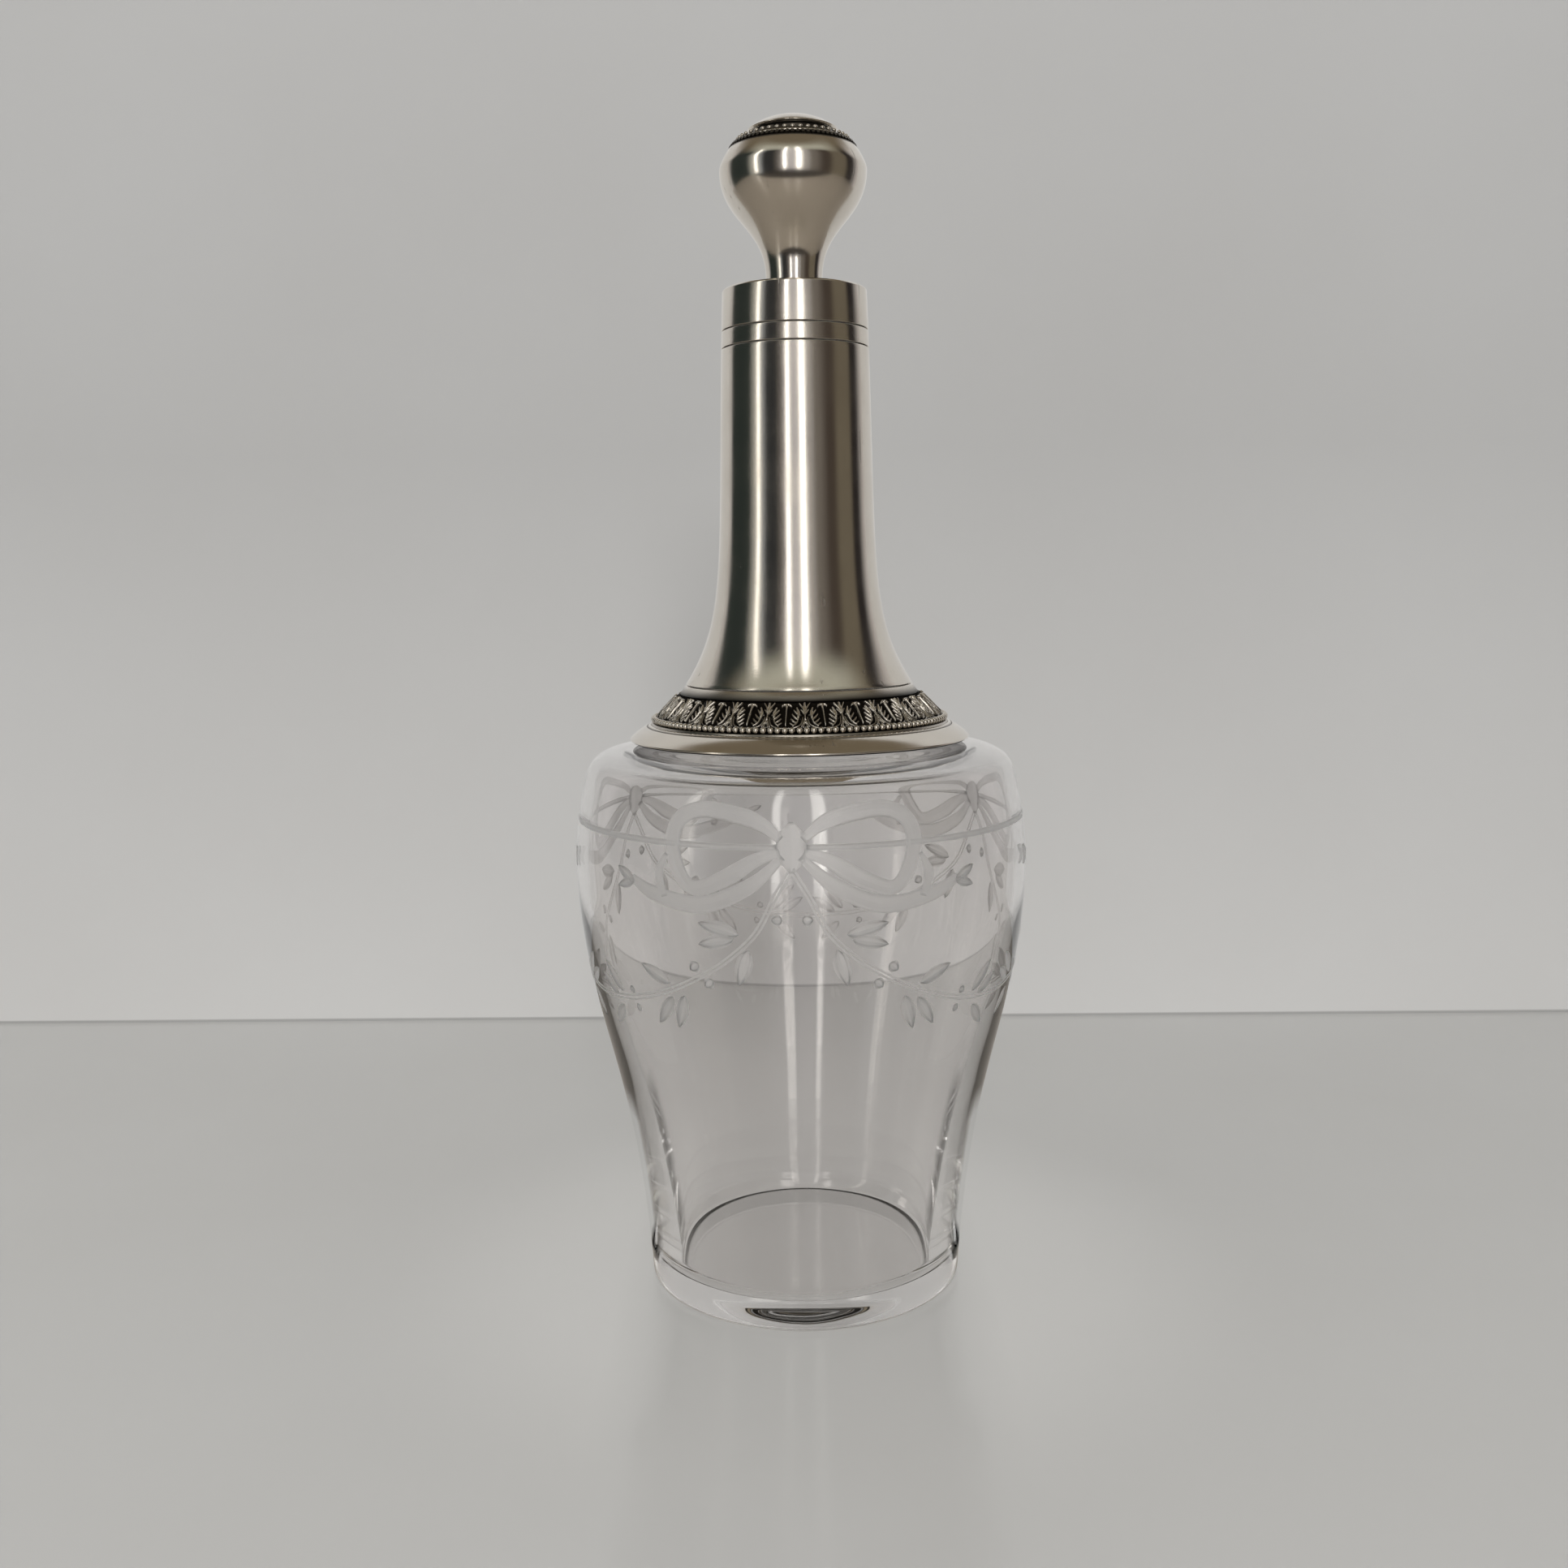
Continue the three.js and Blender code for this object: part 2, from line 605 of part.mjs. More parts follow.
const carafe = new THREE.Group();
carafe.add(
  piece("glass_body", glassBody(), glass(0xe9ecea, 0.03, 0.35)),
  piece("plaster_bed", plasterBed(), plaster()),
  piece("shoulder_flange", shoulderFlange(), silver(0xb7b0a5, 0.28)),
  piece("bead_wire", beaded(beadCentre, BEAD_WIRE_RADIUS, BEAD_COUNT), silver(0xb9b3aa, 0.3)),
  piece("leaf_frieze", leafFrieze(), silver(0x8f8a82, 0.35)),
  piece("neck_sleeve", neckSleeve(), silver(0xb7b0a5, 0.25)),
  piece("collar_band", collarBand(), silver(0xb3aca1, 0.27)),
  piece("mouth_collar", mouthCollar(), silver(0xb7b0a5, 0.25)),
);

const stopper = new THREE.Group();
stopper.add(
  piece("stopper_knob", stopperKnob(), silver(0xb5aea3, 0.25)),
  piece("stopper_toothed_ring", toothedRing(), silver(0x55524e, 0.4)),
  piece("stopper_fillet", filletRing, silver(0xc4beb4, 0.25)),
  piece("stopper_bead_ring", knobBeadRing, silver(0xbab4ab, 0.3)),
  piece("stopper_dome", stopperDome(), silver(0xb5ada0, 0.28)),
  piece("stopper_plug", stopperPlug(), glass(0xe4e8e6, 0.35, 0.6)),
  piece("stopper_plaster", stopperPlaster(), plaster()),
);
carafe.add(stopper);

export default carafe;
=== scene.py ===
"""Finishes of a wine carafe: engraved clear glass, a silver neck mount and a silver-knobbed stopper.

The packed solids are the frame. Fine meshes stand for them here, in the same place and at the same size.
Metres, +Z up, with the viewer on the -Y side. An azimuth is 0 towards the viewer and grows to the right.
Profiles and flat drawings are worked out in millimetres, and new_mesh turns them into metres.
"""

import math

import bmesh
import bpy
import numpy as np
from bpy.props import FloatProperty, FloatVectorProperty, IntProperty, PointerProperty
from mathutils import Matrix, Vector


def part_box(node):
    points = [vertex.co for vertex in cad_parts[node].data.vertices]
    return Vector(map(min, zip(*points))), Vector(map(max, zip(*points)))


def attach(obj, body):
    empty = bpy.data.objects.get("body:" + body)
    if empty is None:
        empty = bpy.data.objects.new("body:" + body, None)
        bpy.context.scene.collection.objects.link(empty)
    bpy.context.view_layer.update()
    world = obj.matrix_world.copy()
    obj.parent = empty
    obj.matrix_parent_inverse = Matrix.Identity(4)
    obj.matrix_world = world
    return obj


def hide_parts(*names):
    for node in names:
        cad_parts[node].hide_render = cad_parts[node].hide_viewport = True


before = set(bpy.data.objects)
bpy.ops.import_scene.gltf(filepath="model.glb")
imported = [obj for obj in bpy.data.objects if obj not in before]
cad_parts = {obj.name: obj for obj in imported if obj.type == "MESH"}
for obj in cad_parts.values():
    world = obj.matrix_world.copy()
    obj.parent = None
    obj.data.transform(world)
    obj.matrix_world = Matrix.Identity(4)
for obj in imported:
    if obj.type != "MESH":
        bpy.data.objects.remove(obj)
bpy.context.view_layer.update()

bl_info = {
    "name": "Engraved wine carafe",
    "version": (1, 0, 0),
    "blender": (4, 5, 0),
    "location": "View3D > Sidebar > Carafe",
    "description": "Builds the glass, silver and engraving of a wine carafe round its solids",
    "category": "Object",
}

MM = 0.001
TURN = 2 * math.pi
# A radius or length under this many millimetres counts as none
POLE = 1e-7
# Sides of the turned silver and of the turned glass
ROUND_STEPS = 192
GLASS_STEPS = 320
# How far the curve of a rounded corner pulls back from the corner, as a share of the rounding
CORNER_PULL = 0.45
CARAFE = "carafe"
STOPPER = "stopper"


def top_of(node):
    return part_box(node)[1].z / MM


def foot_of(node):
    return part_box(node)[0].z / MM


def radius_of(node):
    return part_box(node)[1].x / MM


# Places that come from the frame, in millimetres
BELLY_RADIUS = radius_of("glass_body")
GLASS_LIP = top_of("glass_body")
SKIRT_RADIUS = radius_of("shoulder_flange")
SKIRT_FOOT = foot_of("shoulder_flange")
STRIP_TOP = top_of("shoulder_flange")
SLEEVE_FOOT = foot_of("neck_sleeve")
SLEEVE_TOP = top_of("neck_sleeve")
SLEEVE_FOOT_RADIUS = radius_of("neck_sleeve")
BAND_FOOT = foot_of("collar_band")
BAND_TOP = top_of("collar_band")
COLLAR_FOOT = foot_of("mouth_collar")
MOUTH_TOP = top_of("mouth_collar")
MOUTH_RADIUS = radius_of("mouth_collar")
STEM_FOOT = foot_of("stopper_knob")
KNOB_RADIUS = radius_of("stopper_knob")
PLUG_FOOT = foot_of("stopper_plug")
PLUG_RADIUS = radius_of("stopper_plug")
TANG_TOP = top_of("stopper_plug")
CROWN_TOP = top_of("stopper_dome")
JOINT_GAP = SLEEVE_FOOT - STRIP_TOP


def length(name, description, default):
    """A size whose default is given in millimetres."""
    return FloatProperty(name=name, description=description, default=default * MM, unit="LENGTH", precision=5)


def angle(name, description, degrees):
    return FloatProperty(name=name, description=description, default=math.radians(degrees), subtype="ANGLE")


def colour(name, description, default):
    return FloatVectorProperty(name=name, description=description, default=default, subtype="COLOR",
                               min=0, max=1)


class CarafeGlass(bpy.types.PropertyGroup):
    """The blown glass body and its engraving"""

    wall: length("Wall", "Thickness of the glass at the belly", 2.7)
    foot_wall: length("Foot wall", "Thickness that the wall grows to towards the foot", 7)
    base: length("Base", "Thickness of the glass under the cavity", 5.6)
    lip_round: length("Lip round", "Rounding of the glass edges", 0.5)
    cut_depth: length("Cut depth", "Depth that the ground cuts seem to have", 0.3)
    cut_stand: length("Cut stand", "Gap between the ground film and the glass", 0.02)
    cut_film: length("Cut film", "Thickness of the ground film", 0.03)
    bow_azimuth: angle("Bow azimuth", "Where the first bow stands, round from the viewer's side", -2.1)
    bows: IntProperty(name="Bows", description="Number of bows round the glass", default=3, min=1)
    pale_edge: length("Pale edge", "Height up to which the glass looks pale at its edges", 44)
    tint: colour("Tint", "Colour of the clear glass", (0.955, 0.942, 0.94))


class CarafeSilver(bpy.types.PropertyGroup):
    """The silver neck mount"""

    wall: length("Wall", "Thickness of the silver", 0.8)
    edge_round: length("Edge round", "Rounding of the silver edges", 0.12)
    frieze_repeats: IntProperty(name="Frieze repeats", description="Leaf and dart pairs", default=24, min=3)
    frieze_azimuth: angle("Frieze azimuth", "Where one dart stands", -5.2)
    frieze_base: length("Frieze base", "Thickness of the frieze's plain ground", 0.4)
    frieze_relief: length("Frieze relief", "How far the ornament stands out", 0.85)
    beads: IntProperty(name="Beads", description="Beads round the mount", default=136, min=3)
    bead_radius: length("Bead radius", "Radius of the mount's beads", 0.75)
    tone: colour("Tone", "Colour of the silver", (0.63, 0.59, 0.53))
    # The colour that tarnish and painted shade darken the silver towards
    tarnish_and_shade_tone: colour("Tarnish and shade colour", "Colour of the silver in its hollows", (0.014, 0.012, 0.01))


class CarafeStopper(bpy.types.PropertyGroup):
    """The silver-knobbed stopper"""

    wall: length("Wall", "Thickness of the knob's silver", 0.7)
    seat_depth: length("Seat depth", "Depth of the seat under the ornament rings", 0.95)
    teeth: IntProperty(name="Teeth", description="Teeth of the notched ring", default=78, min=3)
    beads: IntProperty(name="Beads", description="Beads round the knob", default=46, min=3)
    bead_radius: length("Bead radius", "Radius of the knob's beads", 0.45)
    fillet_radius: length("Fillet radius", "Radius of the plain wire", 0.28)


class CarafeStage(bpy.types.PropertyGroup):
    """Floor, backdrop, light and camera"""

    floor_radius: length("Floor radius", "Reach of the table", 1200)
    wall_distance: length("Wall distance", "From the carafe's axis to the backdrop", 216)
    mirrored_table: length("Mirrored table", "Where the table ends in mirrors", -450)
    floor_tone: colour("Floor", "Colour of the table", (0.5, 0.495, 0.48))
    mirrored_floor_tone: colour("Mirrored floor", "Colour of the table in the silver", (0.4, 0.36, 0.31))
    mirrored_wall_tone: colour("Mirrored wall", "Colour of the backdrop in the silver", (0.8, 0.8, 0.8))
    # The backdrop's two tones are painted light: lighter at the table and shaded higher up
    painted_lit_wall_tone: colour("Wall foot", "Colour of the backdrop at the table", (0.7, 0.695, 0.685))
    painted_shaded_wall_tone: colour("Wall top", "Colour of the backdrop higher up", (0.495, 0.493, 0.488))


# Curves and profiles. A profile is an array of radius and height, in millimetres.
def bend(start, pull_start, pull_end, end, steps):
    """Points of a cubic curve."""
    share_on = np.linspace(0, 1, steps + 1)[:, None]
    share_left = 1 - share_on
    given = (start, pull_start, pull_end, end)
    start, pull_start, pull_end, end = (np.array(point, float) for point in given)
    return (share_left ** 3 * start + 3 * share_left ** 2 * share_on * pull_start
            + 3 * share_left * share_on ** 2 * pull_end + share_on ** 3 * end)


def through(points, steps):
    """A smooth curve through given points."""
    points = np.array(points, float)
    padded = np.vstack([2 * points[0] - points[1], points, 2 * points[-1] - points[-2]])
    runs = []
    for before, start, end, after in zip(padded, padded[1:], padded[2:], padded[3:]):
        runs.append(bend(start, start + (end - before) / 6, end - (after - start) / 6, end, steps)[:-1])
    return np.vstack(runs + [points[-1:]])


def outwards(line):
    """The unit way to the right of a line at each of its points, which is outwards where a profile climbs."""
    way = np.gradient(line, axis=0)
    way /= np.linalg.norm(way, axis=1)[:, None]
    return np.stack([way[:, 1], -way[:, 0]], axis=1)


def beside(line, distance):
    """The same line moved outwards, or inwards by a negative distance."""
    return line + outwards(line) * distance


def softened(profile, reach, closed=True):
    """Rounds the sharp corners of a profile, over no more than a third of the sides beside them."""
    profile = np.array(profile, float)
    count = len(profile)
    sharp = math.radians(22)
    rounding_steps = 4
    points = []
    for index, here in enumerate(profile):
        ends = index in (0, count - 1) and not closed
        before = profile[index - 1] - here
        after = profile[(index + 1) % count] - here
        sizes = np.linalg.norm(before), np.linalg.norm(after)
        if ends or min(sizes) < POLE:
            points.append([here])
            continue
        turn = math.pi - math.acos(np.clip(before @ after / (sizes[0] * sizes[1]), -1, 1))
        if turn < sharp:
            points.append([here])
            continue
        size = min(reach, sizes[0] / 3, sizes[1] / 3)
        start = here + before / sizes[0] * size
        end = here + after / sizes[1] * size
        pulls = here + (start - here) * CORNER_PULL, here + (end - here) * CORNER_PULL
        points.append(bend(start, *pulls, end, rounding_steps))
    return np.vstack(points)


def circle(centre, radius, sides):
    angles = TURN * np.arange(sides) / sides
    return np.array(centre) + radius * np.stack([np.cos(angles), np.sin(angles)], axis=1)


# Meshes and pieces
def new_mesh(name, places, faces, marks=None):
    """A mesh from places in millimetres. marks holds named numbers for each vertex."""
    mesh = bpy.data.meshes.new(name)
    mesh.from_pydata((np.asarray(places) * MM).tolist(), [], faces)
    for mark, values in (marks or {}).items():
        attribute = mesh.attributes.new(mark, "FLOAT", "POINT")
        attribute.data.foreach_set("value", np.asarray(values, np.float32))
    mesh.validate()
    return mesh


def smooth(mesh, sharp_degrees=35):
    mesh.shade_smooth()
    mesh.set_sharp_from_angle(angle=math.radians(sharp_degrees))


def turned_mesh(name, profile, closed=True, tarnish_and_shade=None, steps=ROUND_STEPS):
    """Turns a profile round the Z axis. Its outer side climbs."""
    turns = TURN * np.arange(steps) / steps
    places = []
    tarnish_and_shade_values = []
    rings = []
    for radius, height in profile:
        size = 1 if radius < POLE else steps
        rings.append(range(len(places), len(places) + size))
        for turn in turns[:size]:
            places.append((radius * math.cos(turn), radius * math.sin(turn), height))
        # Each vertex's mark of tarnish and painted shade, 0 where none is given
        tarnish_and_shade_values.extend([0.0 if tarnish_and_shade is None else float(tarnish_and_shade(radius, height))] * size)
    faces = []
    pairs = list(zip(rings, rings[1:])) + ([(rings[-1], rings[0])] if closed else [])
    for lower, upper in pairs:
        for step in range(steps):
            after = (step + 1) % steps
            if len(lower) == 1 and len(upper) == 1:
                break
            if len(lower) == 1:
                faces.append((lower[0], upper[after], upper[step]))
            elif len(upper) == 1:
                faces.append((lower[step], lower[after], upper[0]))
            else:
                faces.append((lower[step], lower[after], upper[after], upper[step]))
    mesh = new_mesh(name, places, faces, {"tarnish_and_shade": tarnish_and_shade_values})
    smooth(mesh)
    return mesh


def linked(name, data):
    """An object that is in the scene."""
    made = bpy.data.objects.new(name, data)
    bpy.context.scene.collection.objects.link(made)
    return made


def placed(name, mesh, material, body, slot, *nodes):
    """Adds a finished piece that rides on a body and stands for CAD nodes."""
    piece = linked(name, mesh)
    if not mesh.materials:
        mesh.materials.append(material)
    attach(piece, body)
    if nodes:
        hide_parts(*nodes)


# Node trees
def add(tree, kind, inputs=None, **settings):
    """Adds a node. inputs go to its sockets, as links or values, and settings to the node itself."""
    made = tree.nodes.new(kind)
    for name, value in settings.items():
        setattr(made, name, value)
    for name, value in (inputs or {}).items():
        if isinstance(value, bpy.types.NodeSocket):
            tree.links.new(value, made.inputs[name])
        else:
            made.inputs[name].default_value = value
    return made


def maths(tree, operation, first, second=0.0, third=0.0, clamp=False):
    return add(tree, "ShaderNodeMath", {0: first, 1: second, 2: third}, operation=operation,
               use_clamp=clamp).outputs[0]


def times(tree, first, second):
    return maths(tree, "MULTIPLY", first, second)


def remap(tree, value, low, high, to_low, to_high, steps="LINEAR"):
    """Turns values from low to high into values from to_low to to_high, and holds them there outside."""
    inputs = {"Value": value, "From Min": low, "From Max": high, "To Min": to_low, "To Max": to_high}
    return add(tree, "ShaderNodeMapRange", inputs, interpolation_type=steps).outputs["Result"]


def mixed(tree, factor, first, second, blend="MIX"):
    """Mixes two colours."""
    made = add(tree, "ShaderNodeMix", {0: factor, 6: first, 7: second}, data_type="RGBA", blend_type=blend)
    return made.outputs[2]


def solid(tone):
    return (*tone, 1.0)


def mixed_shaders(tree, factor, first, second):
    return add(tree, "ShaderNodeMixShader", {0: factor, 1: first, 2: second}).outputs[0]


def object_place(tree):
    return add(tree, "ShaderNodeTexCoord").outputs["Object"]


def axes_of(tree, place):
    """The X, Y and Z sockets of a place."""
    return add(tree, "ShaderNodeSeparateXYZ", {0: place}).outputs


def mark_of(tree, name):
    """A number that the mesh holds for each vertex."""
    return add(tree, "ShaderNodeAttribute", attribute_name=name).outputs["Fac"]


def noise(tree, place, scale, detail=2.0, roughness=0.5):
    inputs = {"Vector": place, "Scale": scale, "Detail": detail, "Roughness": roughness}
    return add(tree, "ShaderNodeTexNoise", inputs).outputs["Fac"]


def bumped(tree, height, strength, distance):
    """Normals of a surface that is raised by its height times a distance in metres."""
    inputs = {"Strength": strength, "Distance": distance, "Height": height}
    return add(tree, "ShaderNodeBump", inputs).outputs["Normal"]


def new_material(name):
    """A bare material with its output."""
    material = bpy.data.materials.new(name)
    material.use_nodes = True
    tree = material.node_tree
    tree.nodes.clear()
    output = add(tree, "ShaderNodeOutputMaterial")
    return material, tree, output


def new_group(name, kind, inputs, outputs):
    """A node group with named sockets, given as pairs of name and socket type, with a default for inputs."""
    tree = bpy.data.node_groups.new(name, kind)
    for socket_name, socket_type, default in inputs:
        socket = tree.interface.new_socket(name=socket_name, in_out="INPUT", socket_type=socket_type)
        if default is not None:
            socket.default_value = default
    for socket_name, socket_type in outputs:
        tree.interface.new_socket(name=socket_name, in_out="OUTPUT", socket_type=socket_type)
    return tree, add(tree, "NodeGroupInput"), add(tree, "NodeGroupOutput")


# Repeats for each metre of the silver's noise: round the axis, and across the brushed lines
BRUSH_SIDEWAYS_SCALE = 28.0
BRUSH_LINE_SCALE = 3200.0
# The scratches slant across the brushing. Their darkness and roughness, and the roughness that tarnish and
# painted shade add, are shares.
SCRATCH_SLANT = (0.5, 0.35, 0.0)
SCRATCH_SCALE = (900.0, 900.0, 22.0)
SCRATCH_DARKNESS = 0.35
SCRATCH_ROUGHNESS = 0.2
TARNISH_AND_SHADE_ROUGHNESS = 0.3
SMUDGE_TONE = (0.7, 0.66, 0.6)
# The relief is dark up to the first height and clean from the second, both as shares of its whole height
DARK_RELIEF = 0.28
CLEAN_RELIEF = 0.8


def silver_wear_and_shade():
    """Shader group: turned brushing, smudges and fine scratches of handled silver, with its tarnish and
    painted shade.
    """
    name = "silver wear"
    if name in bpy.data.node_groups:
        return bpy.data.node_groups[name]
    inputs = [
        ("Tone", "NodeSocketColor", (0.78, 0.74, 0.68, 1)),
        ("Tarnish and shade colour", "NodeSocketColor", (0.035, 0.03, 0.026, 1)),
        ("Tarnish and shade", "NodeSocketFloat", 0.0),
        ("Gloss", "NodeSocketFloat", 0.22),
        ("Brushing", "NodeSocketFloat", 1.0),
        ("Scratches", "NodeSocketFloat", 1.0),
    ]
    outputs = [("Color", "NodeSocketColor"), ("Roughness", "NodeSocketFloat"), ("Normal", "NodeSocketVector")]
    tree, start, end = new_group(name, "ShaderNodeTree", inputs, outputs)
    given = start.outputs
    place = object_place(tree)
    axes = axes_of(tree, place)
    reach_squared = maths(tree, "ADD", times(tree, axes["X"], axes["X"]), times(tree, axes["Y"], axes["Y"]))
    along = maths(tree, "ADD", axes["Z"], maths(tree, "POWER", reach_squared, 0.5))
    rings = add(tree, "ShaderNodeCombineXYZ", {
        "X": times(tree, axes["X"], BRUSH_SIDEWAYS_SCALE),
        "Y": times(tree, axes["Y"], BRUSH_SIDEWAYS_SCALE),
        "Z": times(tree, along, BRUSH_LINE_SCALE),
    }).outputs[0]
    brushing = noise(tree, rings, scale=1.0, detail=3.0, roughness=0.6)
    smudge = noise(tree, place, scale=55.0, detail=4.0, roughness=0.6)
    dents = noise(tree, place, scale=120.0, detail=1.0)
    satin = noise(tree, place, scale=2600.0)
    slant = add(tree, "ShaderNodeMapping", {"Vector": place, "Rotation": SCRATCH_SLANT,
                                            "Scale": SCRATCH_SCALE}).outputs[0]
    thin = remap(tree, noise(tree, slant, scale=1.0, detail=1.0), 0.7, 0.78, 0.0, 1.0)
    some = remap(tree, noise(tree, place, scale=75.0), 0.52, 0.6, 0.0, 1.0)
    scratch = times(tree, times(tree, thin, some), given["Scratches"])
    # Tarnish and painted shade darken the silver, and so do the scratches
    dull = maths(tree, "MAXIMUM", given["Tarnish and shade"], times(tree, scratch, SCRATCH_DARKNESS), clamp=True)
    smudged = remap(tree, smudge, 0.35, 0.75, 0.0, 0.3)
    patina = mixed(tree, smudged, given["Tone"], solid(SMUDGE_TONE), "MULTIPLY")
    tree.links.new(mixed(tree, dull, patina, given["Tarnish and shade colour"]), end.inputs["Color"])
    shine = maths(tree, "ADD", given["Gloss"], remap(tree, smudge, 0.35, 0.7, -0.03, 0.05))
    shine = maths(tree, "MULTIPLY_ADD", given["Tarnish and shade"], TARNISH_AND_SHADE_ROUGHNESS, shine)
    shine = maths(tree, "MULTIPLY_ADD", scratch, SCRATCH_ROUGHNESS, shine, clamp=True)
    tree.links.new(shine, end.inputs["Roughness"])
    height = times(tree, brushing, given["Brushing"])
    for bumps, rise in ((dents, 4.0), (satin, 1.5), (scratch, -2.0)):
        height = maths(tree, "MULTIPLY_ADD", bumps, rise, height)
    tree.links.new(bumped(tree, height, strength=0.35, distance=0.01 * MM), end.inputs["Normal"])
    return tree


def silver_material(name, settings, gloss=0.16, brushing=1.0, scratches=1.0, relief=None):
    """Satin silver, darkened by tarnish and painted shade. relief names an attribute that is 1 on the heights
    and 0 in the hollows.
    """
    if name in bpy.data.materials:
        return bpy.data.materials[name]
    material, tree, output = new_material(name)
    # The darkening: tarnish in the relief's hollows, or else the mesh's mark of tarnish and painted shade
    if relief:
        tarnish_and_shade = remap(tree, mark_of(tree, relief), DARK_RELIEF, CLEAN_RELIEF, 1.0, 0.0, "SMOOTHSTEP")
    else:
        tarnish_and_shade = mark_of(tree, "tarnish_and_shade")
    wear_and_shade = add(tree, "ShaderNodeGroup", node_tree=silver_wear_and_shade())
    tree.links.new(tarnish_and_shade, wear_and_shade.inputs["Tarnish and shade"])
    wear_and_shade.inputs["Tone"].default_value = solid(settings.tone)
    wear_and_shade.inputs["Tarnish and shade colour"].default_value = solid(settings.tarnish_and_shade_tone)
    wear_and_shade.inputs["Gloss"].default_value = gloss
    wear_and_shade.inputs["Brushing"].default_value = brushing
    wear_and_shade.inputs["Scratches"].default_value = scratches
    shader = add(tree, "ShaderNodeBsdfPrincipled", {
        "Base Color": wear_and_shade.outputs["Color"],
        "Roughness": wear_and_shade.outputs["Roughness"],
        "Normal": wear_and_shade.outputs["Normal"],
        "Metallic": 1.0,
    })
    tree.links.new(shader.outputs[0], output.inputs["Surface"])
    return material


def bead_silver(settings):
    """Smooth silver for the beads and the wire."""
    return silver_material("bead silver", settings, gloss=0.2, brushing=0.0, scratches=0.0)


def darkened_silver(settings):
    """Cast silver with dark hollows."""
    return silver_material("darkened silver", settings, gloss=0.18, brushing=0.0, scratches=0.0,
                           relief="relief")


GLASS_IOR = 1.5
# The ground glass's grain, as a share of the depth of a cut
GRAIN_HEIGHT = 0.12
SHADOW_TINT = (0.97, 0.97, 0.97)
CUT_TINT = (0.9, 0.89, 0.88)
GROUND_TINT = (0.88, 0.9, 0.89)
# The glass turns pale between these two values of its facing, which is 0 face on and 1 edge on
PALE_FACING = (0.66, 0.8)
# Heights in metres over which the pale edge starts above the foot, and fades at its upper end
PALE_START = (0.006, 0.009)
PALE_FADING = 0.008


def glass_material(name, tint, roughness, cut_depth=None, clearness=1.0, pale_edge_height=None):
    """Clear or ground glass that lets the lamps' light through. Up to a given height its edges are pale."""
    if name in bpy.data.materials:
        return bpy.data.materials[name]
    material, tree, output = new_material(name)
    shader = add(tree, "ShaderNodeBsdfPrincipled", {
        "Base Color": solid(tint),
        "Roughness": roughness,
        "IOR": GLASS_IOR,
        "Transmission Weight": clearness,
    })
    place = object_place(tree)
    if cut_depth:
        grain = noise(tree, place, scale=2500.0)
        height = maths(tree, "MULTIPLY_ADD", grain, GRAIN_HEIGHT, mark_of(tree, "cut"))
        normal = bumped(tree, height, strength=1.0, distance=cut_depth)
    else:
        ripple = noise(tree, place, scale=35.0, detail=1.0)
        normal = bumped(tree, ripple, strength=0.25, distance=0.2 * MM)
    tree.links.new(normal, shader.inputs["Normal"])
    clear = add(tree, "ShaderNodeBsdfTransparent", {"Color": solid(SHADOW_TINT)}).outputs[0]
    surface = shader.outputs[0]
    if pale_edge_height:
        edge = add(tree, "ShaderNodeLayerWeight", {"Blend": 0.5}).outputs["Facing"]
        level = axes_of(tree, place)["Z"]
        low = remap(tree, level, pale_edge_height, pale_edge_height + PALE_FADING, 1.0, 0.0)
        pale = times(tree, remap(tree, edge, *PALE_FACING, 0.0, 1.0), low)
        pale = times(tree, pale, remap(tree, level, *PALE_START, 0.0, 1.0))
        surface = mixed_shaders(tree, pale, surface, clear)
    path = add(tree, "ShaderNodeLightPath").outputs
    lighting = maths(tree, "MAXIMUM", path["Is Shadow Ray"], path["Is Diffuse Ray"])
    tree.links.new(mixed_shaders(tree, lighting, surface, clear), output.inputs["Surface"])
    return material


PLASTER_LOW_TONE = (0.72, 0.67, 0.58)
PLASTER_HIGH_TONE = (0.82, 0.78, 0.7)


def plaster_material():
    name = "plaster"
    if name in bpy.data.materials:
        return bpy.data.materials[name]
    material, tree, output = new_material(name)
    grain = noise(tree, object_place(tree), scale=900.0, detail=5.0)
    raised = remap(tree, grain, 0.3, 0.7, 0.0, 1.0)
    tone = mixed(tree, raised, solid(PLASTER_LOW_TONE), solid(PLASTER_HIGH_TONE))
    shader = add(tree, "ShaderNodeBsdfPrincipled", {
        "Base Color": tone,
        "Roughness": 0.9,
        "Normal": bumped(tree, grain, strength=0.6, distance=0.1 * MM),
    })
    tree.links.new(shader.outputs[0], output.inputs["Surface"])
    return material


# Geometry Nodes
WANDER_SEED = 7


